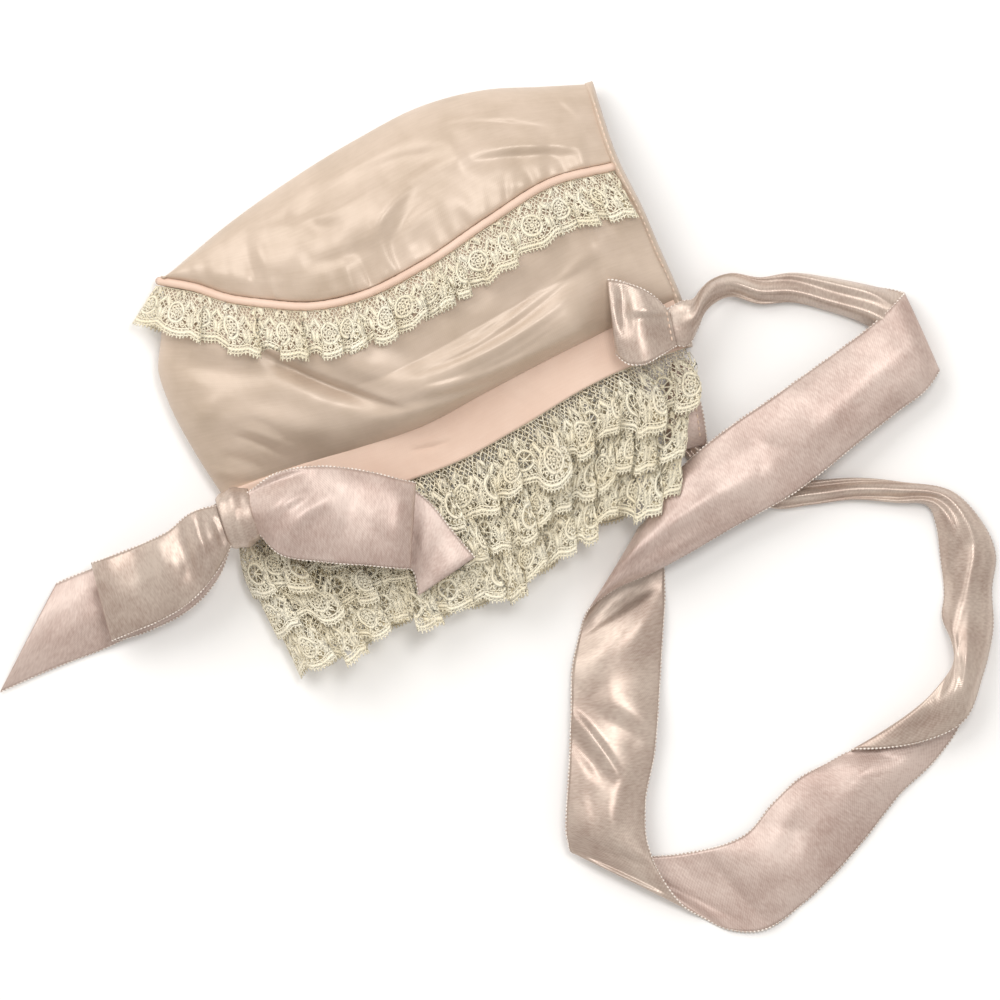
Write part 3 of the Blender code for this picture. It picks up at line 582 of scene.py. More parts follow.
piping_share, piping_rise, piping_out = round_fold(0.05, 8, 110)
piping_path = smooth(SEAM, piping_share)
piping_path[:, :2] += piping_out[:, None] * PIPING_FOLD_REACH
piping_path[:, 2] = folded_height(PIPING_RADIUS, TRIM_FOLD_HEIGHT, piping_path[:, 2], piping_rise)
piping_piece = tube("crown_cord", piping_path, PIPING_RADIUS, trim_silk, ripple=0.04)
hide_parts("crown_piping")


# Face band: a flat doubled strip of the pinker silk, sewn on along the face edge and pressed at
# both of its own edges, with a few shallow wrinkles where the ribbon pulls on it.
BAND_LOW = (
    # x, y, z of the band's lower edge, from the fold to the chin corner
    (-79.0, -13.0, 9.5),
    (-52.0, -3.2, 11.0),
    (-26.0, 6.8, 12.0),
    (-14.0, 11.5, 12.3),
    (6.2, 22.5, 12.3),
    (26.4, 34.6, 12.0),
    (36.0, 39.4, 11.5),
    (57.6, 47.2, 11.0),
)
BAND_SHEET = 1.6
BAND_WAVES = (
    # direction, length, height, phase, bend
    (30.0, 38.0, 0.16, 0.6, 4.0),
    (150.0, 21.0, 0.09, 2.0, 3.0),
)
BAND_WRINKLES = (
    # from x, y, to x, y, bow to the left, half width, height, skew
    (-28.5, 15.2, -15.0, 18.6, -0.3, 0.8, -0.60, 0.3),
    (-28.0, 16.8, -14.0, 20.2, -0.3, 1.0, 0.40, 0.0),
    (-6.0, 36.0, 10.0, 27.0, 0.8, 1.6, -0.35, 0.0),
    (4.0, 38.0, 18.0, 31.0, 0.8, 1.6, 0.30, 0.0),
)
band_share, band_rise, _ = round_fold(0.05, 8, 160)
band_down = np.linspace(0, 1, 20)
band_top = edge(BAND_TOP, band_share)
band = band_top[:, None] + band_down[None, :, None] * (edge(BAND_LOW, band_share) - band_top)[:, None]
band_upper = band[..., 2] + waves(band, BAND_WAVES) + creases(band, BAND_WRINKLES)
band[..., 2] = folded_height(BAND_THICK / 2, TRIM_FOLD_HEIGHT, band_upper, band_rise[:, None])
band_piece = cloth("band_silk", band, BAND_SHEET, trim_silk)
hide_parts("face_band")


# Nape hem: the turned edge of the silk along the nape, which laps a little over both panels and
# is held by a row of small hand stitches.
HEM_LAP = -1.4
HEM_WIDTH = 3.8
HEM_LOWER = 0.8
HEM_LENGTH = 85.0
STITCH_PITCH = 2.1
STITCH = 1.2
STITCH_RADIUS = 0.22
hem_share, hem_rise, hem_out = round_fold(0.06, 8, 120)
hem_inner = edge(NAPE, hem_share, -HEM_LAP)
hem_outer = edge(NAPE, hem_share, HEM_WIDTH)
hem_across = np.linspace(0, 1, 14)
hem = hem_inner[:, None] + hem_across[None, :, None] * (hem_outer - hem_inner)[:, None]
hem[..., 1] += 0.6 * hem_out[:, None]
hem_way = hem_share * HEM_LENGTH
hem_dimples = np.exp(-((hem_across - 0.46) / 0.1) ** 2)
hem_pull = 0.14 * np.sin(2 * np.pi * hem_way / STITCH_PITCH)[:, None] * hem_dimples
hem_round = -0.7 + 1.5 * np.sin(np.pi * hem_across) - 1.8 * hem_across ** 4
hem_puff = 0.2 * np.sin(hem_way / 4.3)[:, None] * np.sin(np.pi * hem_across)
hem_upper = hem[..., 2] + hem_round[None, :] + hem_pull + hem_puff
hem[..., 2] = folded_height(HEM_LOWER, CROWN_FOLD_HEIGHT, hem_upper, hem_rise[:, None])
hem_piece = cloth("nape_hem_silk", hem, 0.4, panel_silk)
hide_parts("nape_binding")


def rods(index):
    """Faces of many closed rods, from the index of each one's rings of points, one ring after the
    other: the walls between the rings, and a fan over each end."""
    beside = np.roll(index, -1, axis=2)
    walls = np.stack([index[:, :-1], index[:, 1:], beside[:, 1:], beside[:, :-1]], axis=3)
    faces = [halves(walls.reshape(-1, 4))]
    for corner in range(1, index.shape[2] - 1):
        for ring, low, high in ((0, corner, corner + 1), (-1, corner + 1, corner)):
            faces.append(np.stack([index[:, ring, 0], index[:, ring, low], index[:, ring, high]], axis=1))
    return np.concatenate(faces)


def stitches(name, line, pitch, length, radius, look):
    """A row of stitches along a line: half-sunk capsules with round ends, at an even pitch."""
    way = distances(line)
    starts = np.arange(pitch / 2, way[-1] - length, pitch)
    along = np.linspace(0, length, 6)
    at = starts[:, None] + along[None, :]
    path = np.stack([np.interp(at, way, line[:, axis]) for axis in range(3)], axis=2)
    run = unit(np.gradient(path, axis=1))
    level = unit(np.cross(run, UP))
    upright = np.cross(level, run)
    girth = radius * np.sqrt(np.clip(1 - ((along - length / 2) / (length / 2)) ** 2, 0.02, 1)) ** 0.6
    turn = np.linspace(0, 2 * np.pi, 6, endpoint=False)
    around = np.cos(turn)[:, None] * level[:, :, None] + np.sin(turn)[:, None] * upright[:, :, None]
    rings = path[:, :, None] + girth[None, :, None, None] * around
    index = np.arange(rings[..., 0].size).reshape(rings.shape[:3])
    uv = np.stack(np.broadcast_arrays(at[..., None], turn[None, None] * radius), axis=3).reshape(-1, 2)
    return make_mesh(name, rings.reshape(-1, 3), rods(index), [look], uv)


# Sewing thread: pale twisted silk, just lighter than the cloth, so the stitches can be counted.
sewing_thread = silk("Sewing thread", "#EBD5C3", "#DCC0AA", 0.6, 0.2, 0.000010)
top_side = hem_rise > 0.99
stitch_line = hem[top_side, 6] + STITCH_RADIUS * UP
hem_stitches = stitches("nape_stitches", stitch_line, STITCH_PITCH, STITCH, STITCH_RADIUS, sewing_thread)


# Crown lace: narrow cream cotton lace, gathered into the seam under the piping and spread over
# the side panel. The lace is built of its threads: a diamond net, flowers of small rings in a
# ring of close clothwork, leaves, and a scalloped border with a ladder of bars and picots.
REPEAT = 12.6
THREAD = 0.37
BORDER_DEPTH = 2.2
FLOWER_DEPTH = 6.9
MEDALLION = 4.6
SCALLOP = 1.7
BARS = 11
FLAT_PROFILE = ((-1.0, 0.0), (-0.6, 1.0), (0.6, 1.0), (1.0, 0.0))
RIDGE_PROFILE = ((-1.0, 0.0), (0.0, 1.0), (1.0, 0.0))


def threads(paths, width, height, flat_top=False):
    """Threads of the flat lace as closed strips with a raised middle.

    The paths are many lines of the same number of points, and the width may change along them.
    Gives the points as (along, across, height) and the faces.
    """
    run = unit(np.gradient(paths, axis=1))
    half_width = np.broadcast_to(width, run.shape[1]) / 2
    side = np.stack([-run[..., 1], run[..., 0]], axis=2) * half_width[None, :, None]
    rings = []
    for aside, up in FLAT_PROFILE if flat_top else RIDGE_PROFILE:
        place = paths + aside * side
        rings.append(np.concatenate([place, np.full((*place.shape[:2], 1), up * height)], axis=2))
    rings = np.stack(rings, axis=2)
    index = np.arange(rings[..., 0].size).reshape(rings.shape[:3])
    return rings.reshape(-1, 3), rods(index)[:, ::-1]


def spokes(turn):
    """Unit vectors in the plane of the lace, one for each angle: its cosine and its sine."""
    return np.stack([np.cos(turn), np.sin(turn)], axis=1)


def thread_rings(centres, radius, steps, width, height, flat_top=False):
    """A ring of thread round each centre: a circle whose path ends where it starts."""
    circle = radius * spokes(np.linspace(0, 2 * np.pi, steps + 1))
    return threads(centres[:, None] + circle[None], width, height, flat_top)


def ring_of_rings(centres, radius, count, small, width):
    """Little rings side by side in a circle round each centre, in one piece of clothwork."""
    around = radius * spokes(np.linspace(0, 2 * np.pi, count, endpoint=False) + 0.26)
    places = (centres[:, None] + around[None]).reshape(-1, 2)
    return thread_rings(places, small, 7, width, 0.27)


def medallion(centres):
    """Round clothwork at each centre: a broad close ring and a halo of little rings."""
    close = thread_rings(centres, 3.3, 20, 1.35, 0.19, flat_top=True)
    return [close, ring_of_rings(centres, 4.35, 14, 0.50, 0.46)]


def flower(centres):
    """A medallion with a round of small rings inside it, and an eye in the middle."""
    petals = ring_of_rings(centres, 1.70, 7, 0.68, 0.74)
    return [*medallion(centres), petals, thread_rings(centres, 0.42, 7, 0.62, 0.30)]


def wheel(centres):
    """A medallion with a spider wheel inside it: eight spokes and a round hub."""
    ends = 2.9 * spokes(np.linspace(0, np.pi, 4, endpoint=False) + 0.2)
    arms = [threads(centres[:, None] + np.array([-end, end])[None], 0.46, 0.26) for end in ends]
    return [*medallion(centres), thread_rings(centres, 0.42, 7, 0.80, 0.32), *arms]


def scallop(along):
    """How far the border hangs down at a place along the lace: a row of half sines."""
    return SCALLOP * np.abs(np.sin(np.pi * along / REPEAT))


def lens(steps, widest):
    """The width of a leaf along its length: a half sine."""
    return widest * np.sin(np.pi * np.linspace(0.06, 0.94, steps))


LEAVES = (
    # from the flower's middle, nearer and farther end from the lace's edge, slant, widest
    (5.75, 3.4, 7.8, 0.3, 2.1),
    (5.1, 8.4, 12.0, -1.2, 1.9),
    (1.6, 11.7, 14.8, 1.0, 2.0),
)


def flat_lace(length, depth, mesh, with_wheels):
    """The lace laid flat, as points (along, across, height) and faces, with repeats side by side.

    The net is every straight thread between the points of a diamond lattice whose middle lies
    outside the clothwork, and mesh is the width of its holes, a little wider than the real ones.
    A slow wander of all points, in sines, stands for hand work and wear.
    """
    count = int(np.ceil(length / REPEAT))
    border = depth - BORDER_DEPTH
    centres = np.stack([(np.arange(count) + 0.5) * REPEAT, np.full(count, depth - FLOWER_DEPTH)], axis=1)
    parts = [*flower(centres[::2]), *wheel(centres[1::2])] if with_wheels else flower(centres)
    i, j = np.meshgrid(np.arange(int(length / mesh * 2)), np.arange(int(depth / mesh * 2)), indexing="ij")
    chosen = (i + j) % 2 == 0
    start = np.stack([i[chosen] * mesh / 2, j[chosen] * mesh / 2], axis=1)
    for way in (1, -1):
        end = start + [mesh / 2, way * mesh / 2]
        middle = (start + end) / 2
        from_middle = (middle[:, 0] / REPEAT % 1 - 0.5) * REPEAT
        in_flower = np.hypot(from_middle, middle[:, 1] - centres[0, 1]) < MEDALLION
        past = middle[:, 1] > border - 1.5 + scallop(middle[:, 0])
        keep = ~in_flower & ~past & (end[:, 1] >= 0) & (end[:, 0] <= length)
        parts.append(threads(np.stack([start[keep], end[keep]], axis=1), THREAD, THREAD * 0.75))
    leaf_way = np.linspace(-1, 1, 7)
    for mirror in (-1, 1):
        for reach, low, high, slant, widest in LEAVES:
            bowed = reach + slant * leaf_way[None, :] - 0.35 * leaf_way[None, :] ** 2
            leaf_x = centres[:, :1] + mirror * bowed
            leaf_y = np.broadcast_to(depth - (low + high) / 2 + (high - low) / 2 * leaf_way, leaf_x.shape)
            parts.append(threads(np.stack([leaf_x, leaf_y], axis=2), lens(7, widest), 0.28, flat_top=True))
    way = np.linspace(0, length, count * 16 + 1)
    for offset, width, height in ((-1.25, 0.44, 0.28), (-0.1, 1.3, 0.26), (0.95, 0.46, 0.32)):
        line = np.stack([way, border + offset + scallop(way)], axis=1)[None]
        parts.append(threads(line, width, height, flat_top=width > 1.0))
    bars = (np.arange(count * BARS) + 0.5) * REPEAT / BARS
    bars = bars[bars < length]
    for low, high, width in ((-1.2, -0.5, 0.40), (0.3, 0.95, 0.42), (0.95, 1.9, 0.44)):
        shift = 0.25 * np.sin(bars * 7.0) if low > 0.5 else 0.0
        start = np.stack([bars, border + low + scallop(bars)], axis=1)
        end = np.stack([bars + shift, border + high + scallop(bars)], axis=1)
        parts.append(threads(np.stack([start, end], axis=1), width, 0.30))
    parts.append(threads(np.stack([way, np.full(len(way), 0.4)], axis=1)[None], 0.9, 0.3, flat_top=True))
    sizes = np.cumsum([0] + [len(some) for some, _ in parts])
    points = np.concatenate([some for some, _ in parts])
    faces = np.concatenate([some + first for (_, some), first in zip(parts, sizes)])
    u, v = points[:, 0].copy(), points[:, 1].copy()
    points[:, 0] += 0.16 * np.sin(0.9 * v + 0.31 * u) + 0.07 * np.sin(3.1 * u + 2.3 * v)
    points[:, 1] += 0.18 * np.sin(0.47 * u + 1.3) * np.clip(v / 4, 0, 1) + 0.07 * np.sin(2.7 * u - 3.3 * v)
    return points, faces


def lay_lace(name, surface, depth, look, mesh, with_wheels=False):
    """Lays the flat lace on a gathered surface: a grid whose first side is the lace's own length.

    The cloth's length is measured near its free edge, where it lies spread. Every thread point
    takes its place on the grid by a bilinear mean, and its height along the grid's normal, which
    is a mean over seven rows so that threads keep clear of each other in sharp pleats.
    """
    measured = surface[:, int(surface.shape[1] * 0.75)]
    way = distances(measured)
    length = way[-1]
    points, faces = flat_lace(length, depth, mesh, with_wheels)
    normal = unit(np.cross(np.gradient(surface, axis=0), np.gradient(surface, axis=1)), 1e-9)
    padded = np.pad(normal, ((3, 3), (0, 0), (0, 0)), mode="edge")
    normal = sum(padded[shift:shift + len(normal)] for shift in range(7))
    row = np.clip(np.interp(points[:, 0], way, np.arange(len(way))), 0, len(way) - 1.001)
    column = points[:, 1] / depth * (surface.shape[1] - 1)
    i = row.astype(int)
    j = np.clip(column.astype(int), 0, surface.shape[1] - 2)
    f = (row - i)[:, None]
    g = (column - j)[:, None]

    def between(grid):
        near = (1 - g) * grid[i, j] + g * grid[i, j + 1]
        far = (1 - g) * grid[i + 1, j] + g * grid[i + 1, j + 1]
        return (1 - f) * near + f * far

    place = between(surface) + (points[:, 2:3] - 0.1) * unit(between(normal), 1e-9)
    piece = make_mesh(name, place, faces, [look], points[:, :2])
    return piece, length


TWIST_PITCH = 0.4186


def cotton(name, light, dark):
    """Cotton thread with the lines of its twist 0.4 mm apart, and patches of age over 11 mm."""
    made, tree, shader = new_material(name, 0.8, sheen_weight=0.2, sheen_roughness=0.5)
    place = add(tree, "ShaderNodeUVMap", {}, uv_map="Cloth").outputs["UV"]
    age = add(tree, "ShaderNodeTexNoise", {"Vector": place, "Scale": 0.09, "Detail": 4.0})
    spread = add(tree, "ShaderNodeMapRange", {"Value": age.outputs[0], "From Min": 0.3, "From Max": 0.7})
    colours = {0: spread.outputs[0], 6: linear(dark), 7: linear(light)}
    colour = add(tree, "ShaderNodeMix", colours, data_type="RGBA")
    tree.links.new(colour.outputs[2], shader.inputs["Base Color"])
    lines = {"Vector": place, "Scale": WAVE_TURN / TWIST_PITCH}
    twist = add(tree, "ShaderNodeTexWave", lines, bands_direction="DIAGONAL")
    bump = add(tree, "ShaderNodeBump", {"Height": twist.outputs["Fac"], "Strength": 0.8, "Distance": 0.00008})
    tree.links.new(bump.outputs[0], shader.inputs["Normal"])
    return made


# Old cream cotton: soft and matt, yellowed and browner in places.
lace_cotton = cotton("Cream cotton lace", "#FBF3DC", "#EEE1C2")


def pleats(share, count, seed, uneven):
    """Phase and size of uneven pleats: each is one turn of the phase, over its own length.

    Gives the phase, a hump that is 1 on each crest, and a size for each pleat, blended between
    neighbours.
    """
    rng = np.random.default_rng(seed)
    marks = np.concatenate([[0.0], np.cumsum(rng.uniform(1 - uneven, 1 + uneven, count))])
    marks /= marks[-1]
    phase = 2 * np.pi * np.interp(share, marks, np.arange(count + 1))
    size = np.interp(phase / (2 * np.pi) - 0.5, np.arange(count), rng.uniform(0.35, 1.25, count))
    return phase, (1 - np.cos(phase)) / 2, size


def ruffle(grid, run, free, phase, hump, size, height, roll, lean, forward):
    """Raises the pleats of a gathered lace on its plain grid, growing towards the free edge.

    A crest rises by the height. A double sine spreads crests and valleys and steepens what lies
    between, so that pleats overhang, and the lean carries each crest along the seam. Crests reach
    forward over the next row, and valleys draw back.
    """
    rise = (height * size * hump)[:, None] * free
    along = (roll * size * np.sin(2 * phase) + lean * (hump - 0.4))[:, None] * free
    across = np.stack([run[:, 1], -run[:, 0], np.zeros(len(run))], axis=1)
    reach = forward * (size * (hump - 0.45))[:, None] * free
    grid = grid + along[..., None] * run[:, None] + reach[..., None] * across[:, None]
    grid[..., 2] += rise
    return grid


def down_columns(surface, column):
    """Points of a grid at fractional columns, which may differ from row to row: linear means."""
    cell = np.minimum(column.astype(int), surface.shape[1] - 2)
    part = (column - cell)[..., None]
    row = np.arange(len(surface))[:, None]
    return (1 - part) * surface[row, cell] + part * surface[row, cell + 1]


LACE_COLUMNS = 15
UNDER_PIPING = 1.0
LACE_FOLD_REACH = np.array([-2.2, 0.1])
LACE_FOLD_FLARE = np.array([-6.6, 3.6])
CROWN_NET = 1.95
lace_share, lace_rise, lace_out = round_fold(0.09, 30, 620)
lace_down = np.linspace(0, 1, LACE_COLUMNS)
lace_phase, lace_hump, lace_size = pleats(lace_share, 13, 5, 0.6)
panel_down = np.linspace(0, 1, 161)
panel = side_surface(lace_share, panel_down)
panel_relief = waves(panel, SIDE_WAVES) + creases(panel, SIDE_CREASES)
panel[..., 2] += panel_relief * np.sin(np.pi * panel_down)[None, :] ** 0.5
seam_to_band = np.linalg.norm(panel[:, -1, :2] - panel[:, 0, :2], axis=1)
lace_reach = (lace_down[None, :] * CROWN_LACE_DEPTH - UNDER_PIPING) / seam_to_band[:, None]
crown_ruffle = down_columns(panel, np.clip(lace_reach, 0, 1) * (len(panel_down) - 1))
upper_side = (1 - lace_out)[:, None] * (lace_rise > -0.5)[:, None]
free = step_up(lace_down, -0.15, 1.0)[None, :] * upper_side
crown_ruffle[..., 2] += 0.55 + 0.5 * lace_down - 0.9 * np.exp(-lace_down * 12)
lace_flare = LACE_FOLD_REACH + lace_down[:, None] * LACE_FOLD_FLARE
crown_ruffle[..., :2] += lace_out[:, None, None] * lace_flare
crown_ruffle = ruffle(
    crown_ruffle, unit(short_run(SEAM, lace_share)), free, lace_phase, lace_hump, lace_size,
    height=3.4, roll=2.3, lean=3.2, forward=1.6,
)
lace_under = LACE / 2 + 0.35 * (lace_hump * lace_size)[:, None] * lace_down[None, :]
lace_upper = crown_ruffle[..., 2]
crown_ruffle[..., 2] = folded_height(lace_under, SIDE_FOLD_HEIGHT - 0.6, lace_upper, lace_rise[:, None])
crown_lace, crown_length = lay_lace(
    "crown_lace_threads", crown_ruffle, CROWN_LACE_DEPTH, lace_cotton, CROWN_NET
)
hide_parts("crown_lace")



# Face ruffle: three rows of the same lace, each gathered more fully and lying over the top of
# the next, from the band down to the free edge round the face. Wheels take turns with flowers.
RUFFLE_DEPTH = 44.0
ROW_DEPTH = 17.5
RUFFLE_EDGE = (
    # x, y, z of the free edge, from the fold to the chin corner
    (-60.9, -53.6, 11.0),
    (-49.3, -48.1, 11.0),
    (-40.4, -43.6, 11.2),
    (-28.3, -37.0, 11.4),
    (-18.3, -35.6, 11.5),
    (0.6, -29.4, 11.5),
    (16.7, -19.7, 11.5),
    (29.0, -8.6, 11.5),
    (45.1, -2.6, 11.2),
    (52.5, 5.0, 11.0),
)
RUFFLE_FOLD = (
    # x, y, z of the fold at the top of the head
    (-77.4, -21.7, 9.8),
    (-73.2, -30.5, 10.4),
    (-66.5, -42.9, 10.8),
)
RUFFLE_END = (
    # x, y, z of the end at the chin corner
    (62.6, 40.0, 11.0),
    (60.4, 29.0, 11.0),
    (55.0, 14.0, 11.0),
)
ROW_STARTS = (0.0, 0.305, 0.6)
RUFFLE_DOWN = np.linspace(0, 1, 101)
UNDER_BAND = 0.6
UNDER_BOW = 13.6
ROW_STEP = 0.45
CLEAR_OF_BOW = 6.0
FOLD_OUTWARD = np.array([-0.94, -0.34])
FACE_NET = 2.1


def gathered_row(row, seed, count):
    """One row of the ruffle: its part of the four-sided ruffle surface, with two sets of pleats.

    Small close pleats start at the row's seam and fade out, and large ones grow towards the
    free edge. Under the bow the height is held down by a soft minimum, a little lower for each
    row, so that the rows stay apart. The lower half of the row lies pressed flat.
    """
    share, rise, out = round_fold(0.05, 20, 560, lower_reach=0.88)
    down = np.linspace(0, 1, LACE_COLUMNS)
    depth = ROW_STARTS[row] + down * ROW_DEPTH / RUFFLE_DEPTH
    band, band_ends = (edge(BAND_LOW, at, UNDER_BAND) for at in (share, ENDS))
    fold = smooth([band_ends[0], *RUFFLE_FOLD, RUFFLE_EDGE[0]], RUFFLE_DOWN)
    end = smooth([band_ends[1], *RUFFLE_END, RUFFLE_EDGE[-1]], RUFFLE_DOWN)
    whole = four_sided(band, smooth(RUFFLE_EDGE, share), fold, end, share, RUFFLE_DOWN)
    column = np.broadcast_to(depth * (len(RUFFLE_DOWN) - 1), (len(share), LACE_COLUMNS))
    grid = down_columns(whole, column)
    run = unit(short_run(BAND_LOW, share))
    upper_side = (1 - out)[:, None] * (rise > -0.5)[:, None]
    grid[..., 2] += -1.25 + 2.4 * np.sqrt(down)[None, :]
    sway = 1.3 * np.sin(share * 31.0 + 2.0 * seed) + 0.9 * np.sin(share * 57.0 + seed)
    forward = np.stack([run[:, 1], -run[:, 0]], axis=1)
    grid[..., :2] += (sway[:, None] * down[None, :] * upper_side)[..., None] * forward[:, None]
    close = pleats(share, count * 3, seed + 50, 0.4)
    near = np.sin(np.pi * np.clip(down * 1.5 + 0.12, 0, 1))[None, :] * upper_side
    grid = ruffle(grid, run, near, *close, height=1.2, roll=0.35, lean=0.5, forward=0.0)
    phase, hump, size = pleats(share, count, seed, 0.6)
    free = step_up(down, -0.1, 0.95)[None, :] * upper_side
    grid = ruffle(grid, run, free, phase, hump, size, height=5.0, roll=2.6, lean=4.2, forward=3.4)
    beside_tail = 0.783 * (grid[..., 0] + 25.7) + 0.621 * (grid[..., 1] - 4.0)
    below_bow = -grid[..., 1] - 0.35 * grid[..., 0] - 44.0
    bow = step_up(beside_tail, 0.5, 9.0) + step_up(below_bow, 0.0, 6.0)
    limit = UNDER_BOW + ROW_STEP * (2 - row) + CLEAR_OF_BOW * np.clip(bow, 0, 1)
    upper = limit - 0.8 * np.log1p(np.exp((limit - grid[..., 2]) / 0.8))
    under = (1 - step_up(down, 0.28, 0.64))[None, :] * (LACE + GAP) * (row > 0)
    nested = 0.3 + 0.75 * (2 - row) + 0.9 * down
    grid[..., :2] += out[:, None, None] * nested[None, :, None] * FOLD_OUTWARD
    lower = 0.35 + under + 0.4 * (hump * size)[:, None] * down[None, :]
    grid[..., 2] = folded_height(lower, TRIM_FOLD_HEIGHT, upper, rise[:, None])
    return grid


ROW_PLEATS = (
    # seed, number of large pleats
    (3, 13),
    (8, 15),
    (21, 14),
)
for lace_row, (seed, count) in enumerate(ROW_PLEATS):
    row_piece, row_length = lay_lace(
        f"face_lace_threads_{lace_row + 1}", gathered_row(lace_row, seed, count), ROW_DEPTH, lace_cotton,
        FACE_NET, with_wheels=True,
    )
    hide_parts(f"face_lace_{lace_row + 1}")


# Bow at the top of the face edge: 30 mm satin ribbon, with a knot, two loops and two tails. One
# side of the ribbon is glossy satin, the other duller with slanting weave lines, and both
# woven edges carry a row of tiny picots that catch the light.
RIBBON_HALF = 15.0
RIBBON_SHEET = 0.35
PICOT_PITCH = 1.3
PICOT_SIZE = 0.32


def satin(name, light, dark, roughness, twill, metal):
    """Satin ribbon: slanting twill lines 0.6 mm apart, threads 2 mm long and drifting tone.

    Both are drawn coarser than the real weave, so that they show. Long floating threads give
    satin the look of a dull metal, so part of its answer to light is a metal's.
    """
    made, tree, shader = new_material(name, roughness, anisotropic=0.4, metallic=metal)
    shader.inputs["Specular IOR Level"].default_value = 0.6
    place = add(tree, "ShaderNodeUVMap", {}, uv_map="Cloth").outputs["UV"]
    drift = add(tree, "ShaderNodeTexNoise", {"Vector": place, "Scale": 0.05, "Detail": 5.0, "Roughness": 0.6})
    slant = {"Vector": place, "Rotation": (0.0, 0.0, 0.8)}
    turned = add(tree, "ShaderNodeMapping", slant)
    pattern = {"Vector": turned.outputs[0], "Scale": WAVE_TURN / WEAVE_PITCH, "Distortion": 0.4}
    lines = add(tree, "ShaderNodeTexWave", pattern, bands_direction="X").outputs["Fac"]
    faint = add(tree, "ShaderNodeMath", {0: lines, 1: twill}, operation="MULTIPLY")
    tone = add(tree, "ShaderNodeMath", {0: drift.outputs[0], 1: faint.outputs[0]}, operation="SUBTRACT")
    drawn = add(tree, "ShaderNodeMapping", {**slant, "Scale": (1.7, 0.5, 1.0)})
    grain = add(tree, "ShaderNodeTexNoise", {"Vector": drawn.outputs[0], "Scale": 1.0, "Detail": 1.0})
    floats = add(tree, "ShaderNodeMath", {0: grain.outputs[0], 1: 0.5}, operation="MULTIPLY")
    streaked = add(tree, "ShaderNodeMath", {0: tone.outputs[0], 1: floats.outputs[0]}, operation="ADD")
    whole = {"Value": streaked.outputs[0], "From Min": 0.46, "From Max": 0.88}
    spread = add(tree, "ShaderNodeMapRange", whole)
    colours = {0: spread.outputs[0], 6: linear(dark), 7: linear(light)}
    colour = add(tree, "ShaderNodeMix", colours, data_type="RGBA")
    tree.links.new(colour.outputs[2], shader.inputs["Base Color"])
    bump = add(tree, "ShaderNodeBump", {"Height": lines, "Strength": 0.40, "Distance": 0.00004})
    tree.links.new(bump.outputs[0], shader.inputs["Normal"])
    return made


# Glossy satin: bright broad streaks on every fold. Dull satin: pinker, with a milder glow.
satin_face = satin("Glossy satin", "#CBBAAC", "#A58E81", 0.34, 0.09, 0.42)
satin_back = satin("Dull satin", "#D3BFB4", "#B0968B", 0.41, 0.12, 0.26)


def picots(name, light, dark):
    """The thick edge thread: pale loops 1.3 mm apart, its colour darkened in the gaps between them as painted
    shade.
    """
    made, tree, shader = new_material(name, 0.55)
    place = add(tree, "ShaderNodeUVMap", {}, uv_map="Cloth").outputs["UV"]
    pattern = {"Vector": place, "Scale": WAVE_TURN / PICOT_PITCH}
    # Painted shade: this wave has the picots' pitch, so the colour darkens in the gaps between the loops.
    beat = add(tree, "ShaderNodeTexWave", pattern, bands_direction="X")
    colours = {0: beat.outputs["Fac"], 6: linear(dark), 7: linear(light)}
    colour = add(tree, "ShaderNodeMix", colours, data_type="RGBA")
    tree.links.new(colour.outputs[2], shader.inputs["Base Color"])
    return made


# Thread of the picots: a whitish dotted line along each ribbon edge, its dark dots painted shade in the gaps
# between the loops.
picot_thread_gap_shade = picots("Picot thread with painted gap shade", "#F6ECE2", "#B9A496")


BUCKLE = 0.25


